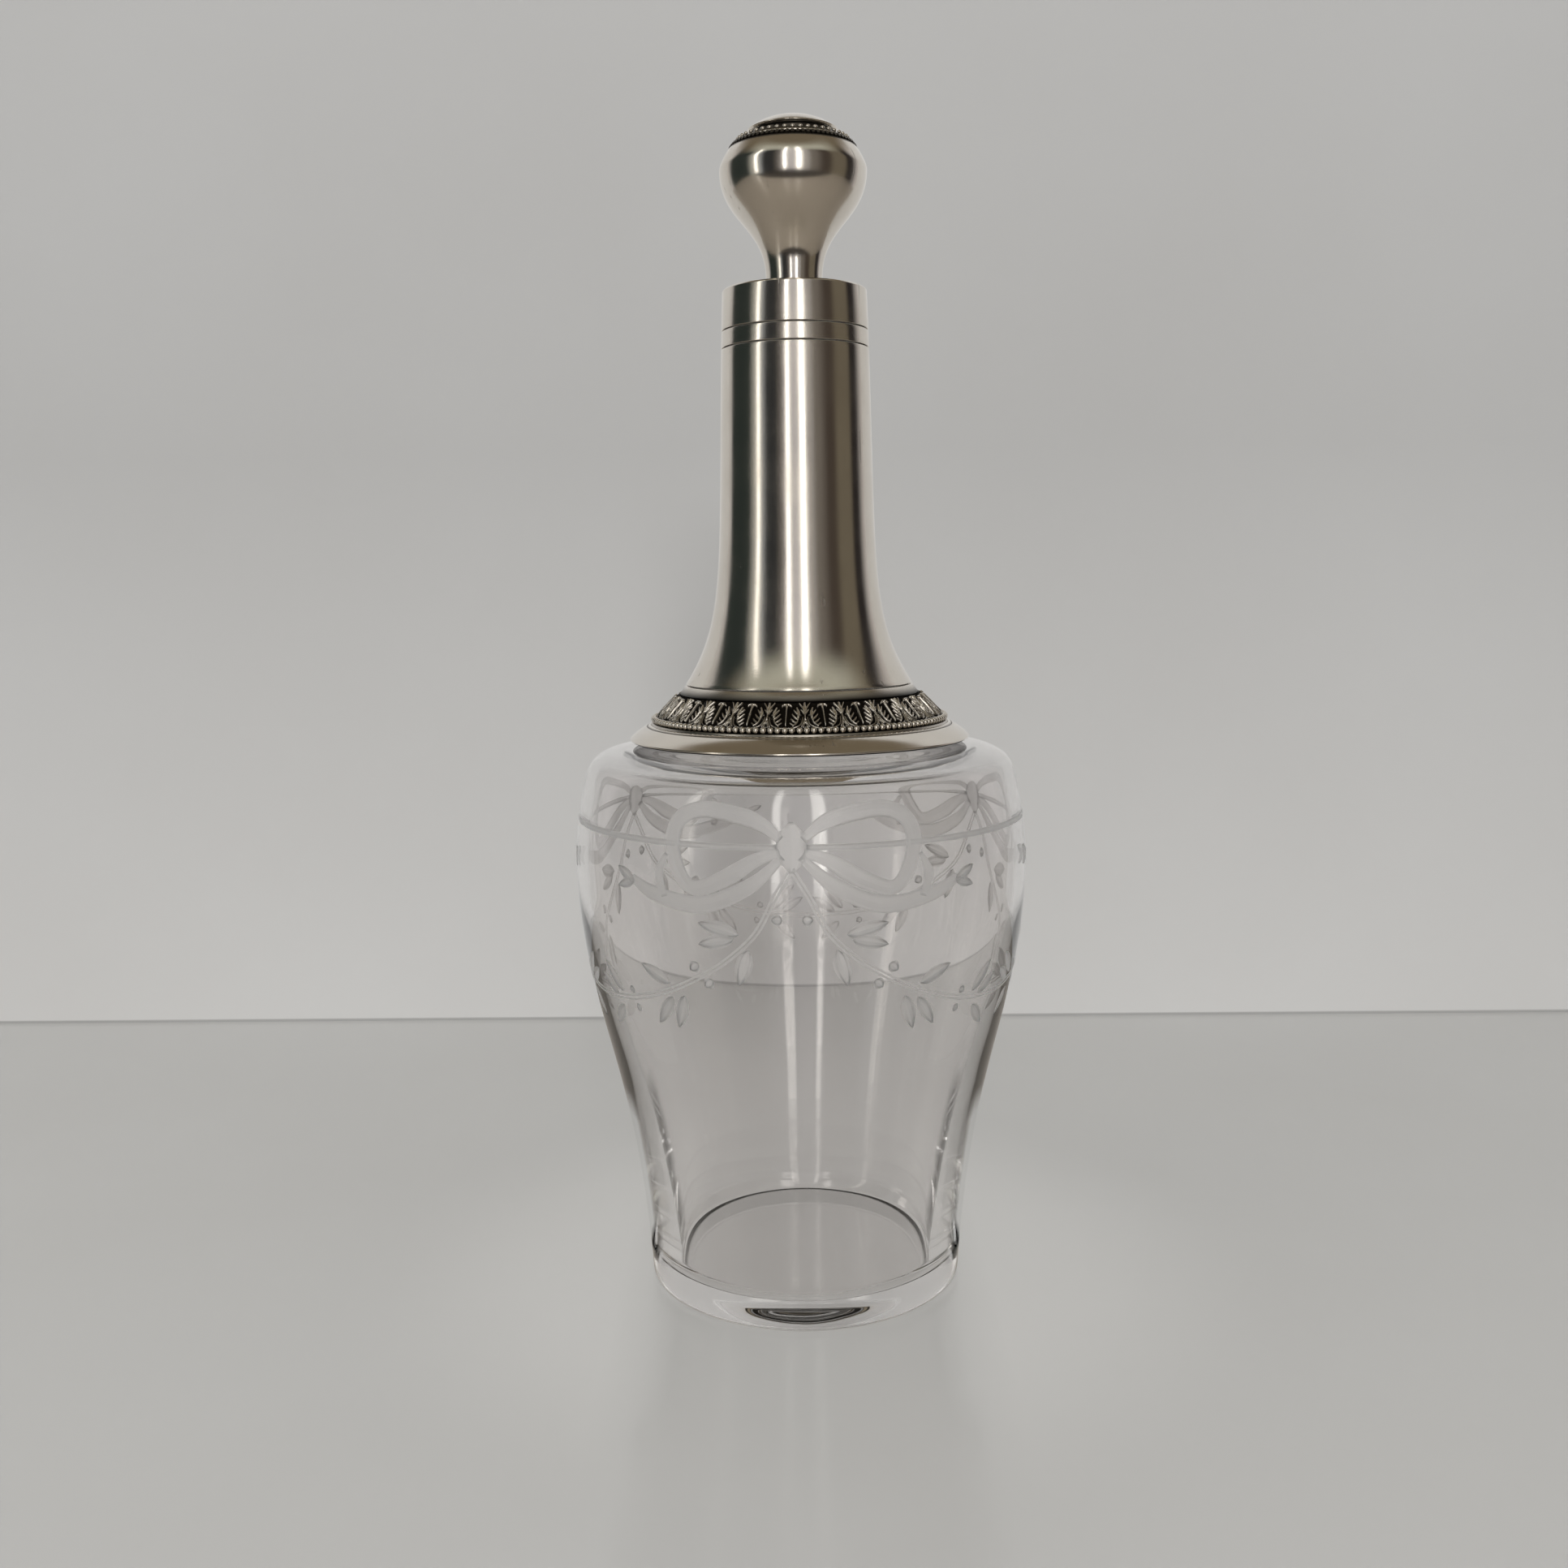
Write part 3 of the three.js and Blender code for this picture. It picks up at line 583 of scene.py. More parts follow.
def ring_tree():
    """Repeats a piece round the Z axis, joins the repeats and gives them their material."""
    name = "repeat round the axis"
    if name in bpy.data.node_groups:
        return bpy.data.node_groups[name]
    inputs = [
        ("Geometry", "NodeSocketGeometry", None),
        ("Count", "NodeSocketInt", 24),
        ("Phase", "NodeSocketFloat", 0.0),
        ("Wander", "NodeSocketFloat", 0.0),
        ("Weld", "NodeSocketFloat", 0.0),
        ("Material", "NodeSocketMaterial", None),
    ]
    tree, start, end = new_group(name, "GeometryNodeTree", inputs, [("Geometry", "NodeSocketGeometry")])
    tree.is_modifier = True
    points = add(tree, "GeometryNodeMeshLine", {"Count": start.outputs["Count"], "Offset": (0, 0, 0)})
    index = add(tree, "GeometryNodeInputIndex").outputs[0]
    step = maths(tree, "DIVIDE", TURN, start.outputs["Count"])
    turn = maths(tree, "MULTIPLY_ADD", index, step, start.outputs["Phase"])
    random = add(tree, "FunctionNodeRandomValue", {2: -1.0, 3: 1.0, "Seed": WANDER_SEED}, data_type="FLOAT")
    turn = maths(tree, "MULTIPLY_ADD", random.outputs[1], start.outputs["Wander"], turn)
    euler = add(tree, "ShaderNodeCombineXYZ", {"Z": turn}).outputs[0]
    copies = add(tree, "GeometryNodeInstanceOnPoints", {
        "Points": points.outputs[0],
        "Instance": start.outputs["Geometry"],
        "Rotation": euler,
    })
    real = add(tree, "GeometryNodeRealizeInstances", {0: copies.outputs[0]})
    welded = add(tree, "GeometryNodeMergeByDistance", {"Geometry": real.outputs[0],
                                                       "Distance": start.outputs["Weld"]})
    finished = add(tree, "GeometryNodeSetMaterial", {"Geometry": welded.outputs[0],
                                                     "Material": start.outputs["Material"]})
    tree.links.new(finished.outputs[0], end.inputs["Geometry"])
    return tree


def set_inputs(modifier, values):
    """Sets a Geometry Nodes modifier's inputs by their sockets' identifiers."""
    for item in modifier.node_group.interface.items_tree:
        if item.item_type == "SOCKET" and item.in_out == "INPUT" and item.name in values:
            modifier[item.identifier] = values[item.name]


def baked(name, mesh, trees, thickness=None):
    """Runs a mesh through Geometry Nodes trees, given with their inputs, and returns a plain mesh."""
    source = linked(name + " source", mesh)
    for tree, values in trees:
        modifier = source.modifiers.new(tree.name, "NODES")
        modifier.node_group = tree
        set_inputs(modifier, values)
    if thickness:
        solidify = source.modifiers.new("thickness", "SOLIDIFY")
        solidify.thickness = thickness
        solidify.offset = 1
        solidify.use_even_offset = False
    graph = bpy.context.evaluated_depsgraph_get()
    result = bpy.data.meshes.new_from_object(source.evaluated_get(graph), depsgraph=graph)
    result.name = name
    bpy.data.objects.remove(source)
    return result


def ring_mesh(name, mesh, material, count, phase=0.0, wander=0.0, weld=0.0):
    """A mesh repeated round the Z axis. phase and wander are radians, and weld is metres."""
    values = {"Count": count, "Phase": phase, "Wander": wander, "Weld": weld, "Material": material}
    return baked(name, mesh, [(ring_tree(), values)])


def bead_mesh(name, centre, radius, stretch):
    """One bead towards the viewer, longer round the ring than across it. It has few faces."""
    form = bmesh.new()
    bmesh.ops.create_uvsphere(form, u_segments=12, v_segments=8, radius=radius * MM)
    shift = Matrix.Translation((0, -centre[0] * MM, centre[1] * MM))
    bmesh.ops.transform(form, matrix=shift @ Matrix.Diagonal((stretch, 1, 1, 1)), verts=form.verts)
    mesh = bpy.data.meshes.new(name)
    form.to_mesh(mesh)
    form.free()
    mesh.shade_smooth()
    return mesh


# Profiles of the glass. Each curve runs between two places, and the two points between these are its pulls,
# which were chosen to follow the outline.
SIDE_STEPS = 40
FOOT_RADIUS = 38.7
FOOT_BEVEL = 0.9
BELLY_HEIGHT = 107.3
SHOULDER_START = 124.8
SHOULDER_TOP = 134.0
TURN_RADIUS = BELLY_RADIUS - 2.3
BORE_RADIUS = 8.2
NECK_RADIUS = 13.4
NECK_ROOT_TOP = SHOULDER_TOP + 38
FOOT_FLARE = 3.5
FLOOR_FILLET = 3.0
# From this height upwards the glass has its thinnest wall
THIN_WALL_RISE = 95.0
SOCKET_FOOT = GLASS_LIP - 30
SOCKET_MOUTH = 9.7


def glass_side():
    """The glass body's outer side, from the foot's bevel to beside the mount's skirt."""
    lower = bend((FOOT_RADIUS, FOOT_BEVEL), (FOOT_RADIUS + FOOT_FLARE, BELLY_HEIGHT * 0.555),
                 (BELLY_RADIUS, BELLY_HEIGHT * 0.64), (BELLY_RADIUS, BELLY_HEIGHT), SIDE_STEPS)
    upper = bend((BELLY_RADIUS, BELLY_HEIGHT), (BELLY_RADIUS, BELLY_HEIGHT + 5.25),
                 (TURN_RADIUS + 0.92, SHOULDER_START - 5.25), (TURN_RADIUS, SHOULDER_START), SIDE_STEPS // 4)
    shoulder = bend((TURN_RADIUS, SHOULDER_START), (TURN_RADIUS - 1.15, SHOULDER_START + 5.8),
                    (TURN_RADIUS - 3.68, SHOULDER_TOP - 1.8), (SKIRT_RADIUS + 1.5, SHOULDER_TOP - 0.9),
                    SIDE_STEPS // 3)
    return np.vstack([lower, upper[1:], shoulder[1:]])


def neck_root():
    """The hidden outer side of the glass between its shoulder and its neck."""
    return bend((SKIRT_RADIUS - 0.8, SHOULDER_TOP - 0.45), (SKIRT_RADIUS - 10.1, SHOULDER_TOP),
                (NECK_RADIUS, SHOULDER_TOP + 13.3), (NECK_RADIUS, NECK_ROOT_TOP), SIDE_STEPS // 2)


def glass_profile(glass):
    """The whole section of the glass body. The wall is a wedge that thickens towards the foot."""
    base = glass.base / MM
    side = glass_side()
    thickening = np.clip(1 - side[:, 1:] / THIN_WALL_RISE, 0, 1)
    wall = (glass.wall + (glass.foot_wall - glass.wall) * thickening) / MM
    underside = [(0, 0), (FOOT_RADIUS - FOOT_BEVEL, 0)]
    outer = np.vstack([underside, side, neck_root(), [(NECK_RADIUS, GLASS_LIP)]])
    inner_side = beside(side, -wall)
    inner_side = inner_side[inner_side[:, 1] > base + FLOOR_FILLET]
    foot = inner_side[0]
    pull = FLOOR_FILLET * CORNER_PULL
    floor = bend((foot[0] - FLOOR_FILLET, base), (foot[0] - pull, base), (foot[0], foot[1] - pull), foot, 10)
    under_neck = inner_side[-1]
    bore = bend(under_neck, (under_neck[0] - 10.1, under_neck[1] + 0.9),
                (BORE_RADIUS, under_neck[1] + 9.5), (BORE_RADIUS, NECK_ROOT_TOP), SIDE_STEPS // 2)
    inner = np.vstack([[(0, base)], floor, inner_side[1:], bore[1:],
                       [(BORE_RADIUS, SOCKET_FOOT), (SOCKET_MOUTH, GLASS_LIP)]])
    return softened(np.vstack([outer, inner[::-1]]), glass.lip_round / MM, closed=False)


# Profiles of the mount
NECK_CURVE = bend((SLEEVE_FOOT_RADIUS, SLEEVE_FOOT), (MOUTH_RADIUS - 0.3, SLEEVE_FOOT + 16.6),
                  (MOUTH_RADIUS + 2.3, SLEEVE_FOOT + 28.3), (MOUTH_RADIUS, MOUTH_TOP), 400)
MOUTH_BEVEL = 0.4
# How far the mouth's rim stays back from the glass socket's edge
MOUTH_SETBACK = 0.7
SKIRT_EDGE_TOP = SKIRT_FOOT + 0.35
SKIRT_TOP_RADIUS = SKIRT_RADIUS - 4.9
SKIRT_TOP = SKIRT_FOOT + 3.65
BEAD_SEAT = SKIRT_TOP + 0.4
CONE_FOOT = np.array((SKIRT_TOP_RADIUS - 1.8, BEAD_SEAT))
CONE_HEAD = CONE_FOOT + (-6.1, 6.2)
CONE_SIZE = float(np.linalg.norm(CONE_HEAD - CONE_FOOT))
CONE_OUT = outwards(np.array([CONE_FOOT, CONE_HEAD]))[0]
FRIEZE_FOOT = CONE_FOOT + (CONE_HEAD - CONE_FOOT) * 0.07
FRIEZE_HEAD = CONE_HEAD + (CONE_FOOT - CONE_HEAD) * JOINT_GAP / CONE_SIZE


def neck_line(start, end, steps):
    """The mount's neck between two heights."""
    heights = np.linspace(start, end, steps + 1)
    return np.stack([np.interp(heights, NECK_CURVE[:, 1], NECK_CURVE[:, 0]), heights], axis=1)


def near(value, target, reach):
    """1 at a place and 0 beyond its reach."""
    return max(0.0, 1.0 - abs(value - target) / reach)


def silver_ring(name, outer, inner, silver, tarnish_and_shade=None):
    """A silver ring between an outer and an inner line that both climb."""
    profile = softened(np.vstack([outer, inner[::-1]]), silver.edge_round / MM)
    return turned_mesh(name, profile, tarnish_and_shade=tarnish_and_shade)


def level_ends(line, foot, head):
    """Cuts a moved line off at two heights."""
    line[0, 1] = foot
    line[-1, 1] = head
    return line


def flange_mesh(silver):
    """Skirt with its incised line, bead seat, cone and plain strip."""
    wall = silver.wall / MM
    slope = bend((SKIRT_RADIUS, SKIRT_EDGE_TOP), (SKIRT_RADIUS - 1.2, SKIRT_EDGE_TOP + 1.3),
                 (SKIRT_TOP_RADIUS + 1.9, SKIRT_TOP - 0.8), (SKIRT_TOP_RADIUS, SKIRT_TOP), 40)
    line_radius = SKIRT_TOP_RADIUS + 0.75
    line_width = 0.16
    line_depth = 0.22
    line_tarnish_and_shade_reach = 0.3
    slope[:, 1] -= line_depth * np.exp(-((slope[:, 0] - line_radius) / line_width) ** 2)
    under_lip = SKIRT_TOP - 0.35
    ledge_width = 0.8
    ledge = CONE_HEAD + CONE_OUT * ledge_width
    strip_top = (SLEEVE_FOOT_RADIUS, STRIP_TOP)
    outer = np.vstack([[(SKIRT_RADIUS, SKIRT_FOOT)], slope,
                       [(SKIRT_TOP_RADIUS - 0.25, under_lip), (SKIRT_TOP_RADIUS - 0.5, BEAD_SEAT)],
                       [CONE_FOOT, CONE_HEAD, ledge, strip_top]])
    inside = np.array([(SKIRT_RADIUS, SKIRT_FOOT), (SKIRT_RADIUS, SKIRT_EDGE_TOP),
                       (SKIRT_TOP_RADIUS, under_lip), CONE_FOOT, CONE_HEAD, strip_top])
    inner = level_ends(beside(inside, -wall), SKIRT_FOOT, STRIP_TOP)
    lowest_line = SKIRT_EDGE_TOP + 1
    lowest_seat = SKIRT_TOP - 0.5
    frieze_end = CONE_HEAD[0] - 0.1
    under_beads = SKIRT_TOP_RADIUS - 1.2
    seat_rim = SKIRT_TOP_RADIUS - 0.2
    rim_painted_shade = 0.35

    # Painted shade: black on the skirt's underside and on the seat under the beads, lighter on the seat's
    # rim. Along the incised line, tarnish and painted shade.
    def tarnish_and_shade(radius, height):
        if height < np.interp(radius, slope[::-1, 0], slope[::-1, 1]) - wall / 2:
            return 1.0
        groove = near(radius, line_radius, line_tarnish_and_shade_reach) if height > lowest_line else 0.0
        if height < lowest_seat or radius < frieze_end:
            return groove
        if radius < under_beads:
            return 1.0
        return rim_painted_shade if radius < seat_rim else groove

    return silver_ring("shoulder_flange", outer, inner, silver, tarnish_and_shade)


# One repeat of the frieze: strokes with their height and their points, each aside, up and radius. aside is 0
# at the dart and 1 at the calyx, up is 0 at the foot and 1 at the head, and radii are millimetres.
FRIEZE_STROKES = (
    ("dart head", 1.0, ((0.0, 0.88, 0.34), (0.16, 0.87, 0.3), (0.26, 0.82, 0.2))),
    ("dart stem", 1.0, ((0.0, 0.86, 0.34), (0.0, 0.5, 0.24), (0.0, 0.12, 0.13))),
    ("leaf tip", 0.9, ((0.64, 0.42, 0.42), (0.66, 0.58, 0.5), (0.56, 0.76, 0.32))),
    ("upper lobe", 0.85, ((0.62, 0.5, 0.3), (0.5, 0.6, 0.36), (0.4, 0.68, 0.24))),
    ("middle lobe", 0.85, ((0.6, 0.34, 0.3), (0.46, 0.42, 0.36), (0.32, 0.52, 0.22))),
    ("lower lobe", 0.8, ((0.52, 0.22, 0.28), (0.38, 0.28, 0.34), (0.26, 0.36, 0.2))),
    ("foot lobe", 0.75, ((0.4, 0.13, 0.22), (0.3, 0.17, 0.26), (0.2, 0.22, 0.16))),
    ("leaf spine", 0.8, ((0.36, 0.1, 0.2), (0.56, 0.22, 0.26), (0.66, 0.4, 0.26))),
    ("cup rim", 0.75, ((0.0, 0.015, 0.17), (0.4, 0.035, 0.18), (0.7, 0.12, 0.18), (0.83, 0.26, 0.17),
                       (0.88, 0.42, 0.14))),
    ("calyx stem", 1.0, ((1.0, 0.34, 0.26), (1.0, 0.56, 0.26), (1.0, 0.8, 0.5), (1.0, 0.92, 0.42))),
    ("calyx side", 0.95, ((1.0, 0.56, 0.2), (0.88, 0.76, 0.3), (0.7, 0.92, 0.26))),
    ("calyx low side", 0.85, ((1.0, 0.5, 0.18), (0.88, 0.62, 0.26), (0.78, 0.7, 0.2))),
    ("outer foot", 0.85, ((1.0, 0.4, 0.18), (0.92, 0.24, 0.17), (0.8, 0.08, 0.16))),
    ("inner foot", 0.8, ((1.0, 0.26, 0.15), (0.94, 0.16, 0.14), (0.88, 0.06, 0.13))),
    ("foot bar", 0.7, ((0.88, 0.07, 0.13), (1.0, 0.06, 0.13))),
    ("upper berry", 0.6, ((0.79, 0.5, 0.17), (0.79, 0.51, 0.17))),
    ("lower berry", 0.6, ((0.76, 0.36, 0.15), (0.76, 0.37, 0.15))),
)
# The radius that the strokes are drawn with, as a share of the one above
STROKE_WEIGHT = 0.9
# Upright hatching along the frieze's head
HATCH_START = 0.93
HATCH_PITCH = 0.42
HATCH_HEIGHT = 0.3


def frieze_height(aside, up, half_width, rise):
    """How high the frieze stands, from 0 to 1, for arrays of places."""
    height = np.zeros_like(aside)
    steps = 8
    no_length = 1e-9
    for _, top, points in FRIEZE_STROKES:
        line = through(points, steps) if len(points) > 2 else np.array(points)
        for start, end in zip(line, line[1:]):
            ax, ay = start[0] * half_width, start[1] * rise
            bx, by = end[0] * half_width, end[1] * rise
            px, py = aside * half_width - ax, up * rise - ay
            run = np.array((bx - ax, by - ay))
            size = max(float(run @ run), no_length)
            on = np.clip((px * run[0] + py * run[1]) / size, 0, 1)
            distance = np.hypot(px - on * run[0], py - on * run[1])
            radius = STROKE_WEIGHT * (start[2] + (end[2] - start[2]) * on)
            ridge = np.sqrt(np.clip(1 - (distance / radius) ** 2, 0, 1))
            height = np.maximum(height, top * ridge)
    wave = 0.5 + 0.5 * np.cos(TURN * aside * half_width / HATCH_PITCH)
    return np.maximum(height, HATCH_HEIGHT * wave * (up > HATCH_START))


def frieze_patch(silver):
    """One repeat of the frieze on the cone, open at its two ends."""
    columns, rows = 70, 52
    half_turn = math.pi / silver.frieze_repeats
    half_width = (FRIEZE_FOOT[0] + FRIEZE_HEAD[0]) / 2 * half_turn
    rise = float(np.linalg.norm(FRIEZE_HEAD - FRIEZE_FOOT))
    across = np.linspace(-1, 1, columns + 1)
    up = np.linspace(0, 1, rows + 1)
    aside_grid, up_grid = np.meshgrid(np.abs(across), up)
    height = frieze_height(aside_grid, up_grid, half_width, rise)
    base = JOINT_GAP + silver.frieze_base / MM
    relief = silver.frieze_relief / MM
    places, marks = [], []

    def put(turn, on, distance, mark):
        radius, level = FRIEZE_FOOT + (FRIEZE_HEAD - FRIEZE_FOOT) * on + CONE_OUT * distance
        places.append((radius * math.sin(turn), -radius * math.cos(turn), level))
        marks.append(mark)

    for row in range(rows + 1):
        for column in range(columns + 1):
            stand = height[row, column]
            put(across[column] * half_turn, up[row], base + relief * stand, stand)
    for on in (0.0, 1.0):
        for column in range(columns + 1):
            put(across[column] * half_turn, on, JOINT_GAP, 0.0)
    wide = columns + 1
    back_foot = wide * (rows + 1)
    back_head = back_foot + wide
    faces = []
    for column in range(columns):
        for row in range(rows):
            corner = row * wide + column
            faces.append((corner, corner + 1, corner + wide + 1, corner + wide))
        head = rows * wide + column
        faces.append((back_foot + column, back_foot + column + 1, column + 1, column))
        faces.append((head, head + 1, back_head + column + 1, back_head + column))
        faces.append((back_head + column, back_head + column + 1, back_foot + column + 1, back_foot + column))
    mesh = new_mesh("frieze repeat", places, faces, {"relief": marks})
    mesh.shade_smooth()
    return mesh


# Profiles of the stopper
STEM_RADIUS = 6.65
STEM_TOP = STEM_FOOT + 2.2
KNOB_WIDEST = STEM_TOP + 24
CROWN = bend((KNOB_RADIUS, KNOB_WIDEST), (KNOB_RADIUS, KNOB_WIDEST + 1.9), (11.8, CROWN_TOP),
             (0, CROWN_TOP), 600)
CROWN_ARCS = np.concatenate([[0], np.cumsum(np.linalg.norm(np.diff(CROWN, axis=0), axis=1))])
CROWN_ARC = float(CROWN_ARCS[-1])
# Places and lengths along the crown, as arcs from the knob's widest ring, and how far the teeth stand out
SEAT_ARC = 5.2
RING_GAP = 0.3
TEETH_START = SEAT_ARC + RING_GAP
TEETH_END = TEETH_START + 0.9
DOME_BEYOND_BEADS = 2.94
DOME_LAP = 1.3
SEAT_UNDER_DOME = 2.6
TOOTH_STAND = 0.2
NOTCH_DEPTH = 0.42


def crown_line(start, end, distance, steps):
    """Points along the crown, by arc from the widest ring, moved outwards by a distance."""
    arcs = np.linspace(start, end, steps + 1)
    ways = outwards(CROWN)
    columns = []
    for column in (0, 1):
        along = np.interp(arcs, CROWN_ARCS, CROWN[:, column])
        columns.append(along + distance * np.interp(arcs, CROWN_ARCS, ways[:, column]))
    line = np.stack(columns, axis=1)
    line[arcs >= CROWN_ARC - POLE, 0] = 0
    return line


def ornament_arcs(stopper):
    """Places of the wire, the beads and the dome along the crown."""
    wire = TEETH_END + RING_GAP + stopper.fillet_radius / MM
    beads = wire + stopper.fillet_radius / MM + RING_GAP + stopper.bead_radius / MM
    dome = beads + stopper.bead_radius / MM + DOME_BEYOND_BEADS
    return wire, beads, dome


def knob_mesh(stopper, silver):
    """The hollow pear with its stem, and the sunk seat of its rings and dome."""
    wall = stopper.wall / MM
    seat = stopper.seat_depth / MM
    seat_end = ornament_arcs(stopper)[2] + SEAT_UNDER_DOME
    pear = bend((STEM_RADIUS, STEM_TOP), (STEM_RADIUS, STEM_TOP + 11.7), (KNOB_RADIUS, KNOB_WIDEST - 10.9),
                (KNOB_RADIUS, KNOB_WIDEST), 48)
    outside = np.vstack([[(STEM_RADIUS, STEM_FOOT)], pear])
    outer = np.vstack([outside, crown_line(0, SEAT_ARC, 0, 16)[1:],
                       crown_line(SEAT_ARC, seat_end, -seat, 16)])
    inner = np.vstack([beside(outside, -wall), crown_line(0, SEAT_ARC - seat - wall, -wall, 10)[1:],
                       crown_line(SEAT_ARC - wall, seat_end, -seat - wall, 12)])
    inner[0, 1] = STEM_FOOT
    lowest_seat = crown_line(SEAT_ARC, SEAT_ARC, 0, 1)[0, 1] - 0.3
    widest_seat = KNOB_RADIUS - 1.2
    # Painted shade: the sunk seat under the rings and the dome is dark
    seat_painted_shade = 0.85

    def tarnish_and_shade(radius, height):
        return seat_painted_shade if height > lowest_seat and radius < widest_seat else 0.0

    return silver_ring("stopper_knob", outer, inner, silver, tarnish_and_shade)


def toothed_mesh(stopper, material):
    """One tooth of the notched ring, repeated round the knob."""
    half_turn = math.pi / stopper.teeth
    face = crown_line(TEETH_START, TEETH_END, TOOTH_STAND, 2)
    back = crown_line(TEETH_START, TEETH_END, JOINT_GAP - stopper.seat_depth / MM, 1)
    sunk = crown_line(TEETH_START, TEETH_END, TOOTH_STAND - NOTCH_DEPTH, 2)
    turns = (-1, -0.72, -0.5, 0.5, 0.72, 1)
    notch_start = 0.6
    notch_relief = 0.15
    tooth_relief = 0.42
    places, marks = [], []
    for turn in turns:
        in_notch = abs(turn) > notch_start
        for radius, level in (*back[:1], *(sunk if in_notch else face), *back[1:]):
            places.append((radius * math.sin(turn * half_turn), -radius * math.cos(turn * half_turn), level))
            marks.append(notch_relief if in_notch else tooth_relief)
    size = len(back) + len(face)
    faces = []
    for column in range(len(turns) - 1):
        for row in range(size):
            after = (row + 1) % size
            start = column * size
            faces.append((start + row, start + size + row, start + size + after, start + after))
    mesh = new_mesh("tooth", places, faces, {"relief": marks})
    return ring_mesh("stopper_toothed_ring", mesh, material, stopper.teeth, weld=0.01 * MM)


def dome_mesh(stopper):
    """The low dome, whose foot stands in the knob's seat."""
    wall = stopper.wall / MM
    edge_round = 0.12
    start = ornament_arcs(stopper)[2]
    foot = crown_line(start, start + DOME_LAP, JOINT_GAP - stopper.seat_depth / MM, 1)
    outer = np.vstack([foot[:1], crown_line(start, CROWN_ARC, 0, 24)])
    inner = np.vstack([foot[1:], crown_line(start + DOME_LAP, CROWN_ARC, -wall, 16)])
    profile = softened(np.vstack([outer, inner[::-1]]), edge_round, closed=False)
    return turned_mesh("stopper_dome", profile)


PLUG_CLEARANCE = 0.3
PLUG_RISE = 0.3
PLUG_BEVEL = 1.6
PLUG_EDGE_ROUND = 0.4
TANG_RADIUS = 4.0


def plug_profile():
    """The tapered plug and its tang."""
    foot_radius = BORE_RADIUS - PLUG_CLEARANCE
    plug_top = MOUTH_TOP + PLUG_RISE
    profile = [(0, PLUG_FOOT), (foot_radius - PLUG_BEVEL, PLUG_FOOT), (foot_radius, PLUG_FOOT + PLUG_BEVEL),
               (PLUG_RADIUS, GLASS_LIP), (PLUG_RADIUS, plug_top), (TANG_RADIUS, plug_top),
               (TANG_RADIUS, TANG_TOP), (0, TANG_TOP)]
    return softened(profile, PLUG_EDGE_ROUND, closed=False)


# Engraving. It is drawn flat, in millimetres: across from the bow's knot at the girth radius, and upwards
# from the foot.
GIRTH = 54.0
BAND_HEIGHT = 117.0
BAND_WIDTH = 1.35
STEM_WIDTH = 0.5
STEM_SPACING = 0.84
# How much deeper than a ribbon of the same width the band is cut
BAND_DEEPENING = 2.6
# How much wider than drawn the leaves are, and how deep their edges are cut
LEAF_FULLNESS = 1.2
LEAF_DEPTH = 2.3
# A ribbon that reaches this far from its middle is cut to the full depth
FULL_CUT_REACH = 1.6
# Where the points across a ribbon or leaf stand, as shares of its half width
ACROSS = np.array((-1, -0.5, 0, 0.5, 1))


def ribbon_faces(rows, start=0):
    """Faces of a ribbon or leaf, between so many rows of the points across it."""
    size = len(ACROSS)
    corners = [start + row * size + column for row in range(rows) for column in range(size - 1)]
    return [(corner, corner + 1, corner + size + 1, corner + size) for corner in corners]


class Drawing:
    """Flat strips and sprig points that are later laid on the glass."""

    def __init__(self):
        self.places = []
        self.faces = []
        self.marks = {"cut": [], "sprig": [], "turn": [], "long": [], "wide": []}

    def vertex(self, place, cut=0.0, sprig=0.0, turn=0.0, long=0.0, wide=0.0):
        self.places.append((place[0], 0.0, place[1]))
        for name, value in (("cut", cut), ("sprig", sprig), ("turn", turn), ("long", long), ("wide", wide)):
            self.marks[name].append(value)

    def strip(self, points, widths, steps=6, mirrored=True, shift=0.0, deepening=1.0):
        """A ribbon along given points, with its widths spread along it. shift moves it to one side."""
        for side in (1, -1) if mirrored else (1,):
            line = through(points, steps) * (side, 1)
            half = np.interp(np.linspace(0, 1, len(line)), np.linspace(0, 1, len(widths)), widths) / 2
            start = len(self.places)
            for place, out, reach in zip(line, outwards(line), half):
                depth = deepening * min(1, reach / FULL_CUT_REACH)
                for across in ACROSS:
                    self.vertex(place + out * (shift + reach * across), cut=depth * across ** 2)
            self.faces.extend(ribbon_faces(len(line) - 1, start))

    def leaf(self, base, tip, width):
        """A point where a leaf grows from its base to its tip, and its mirrored one."""
        for side in (1, -1):
            run = (np.array(tip) - base) * (side, 1)
            turn = math.atan2(run[0], run[1])
            self.vertex(np.array(base) * (side, 1), sprig=1.0, turn=turn, long=np.linalg.norm(run) * MM,
                        wide=width * MM)

    def mesh(self, name):
        return new_mesh(name, self.places, self.faces, self.marks)


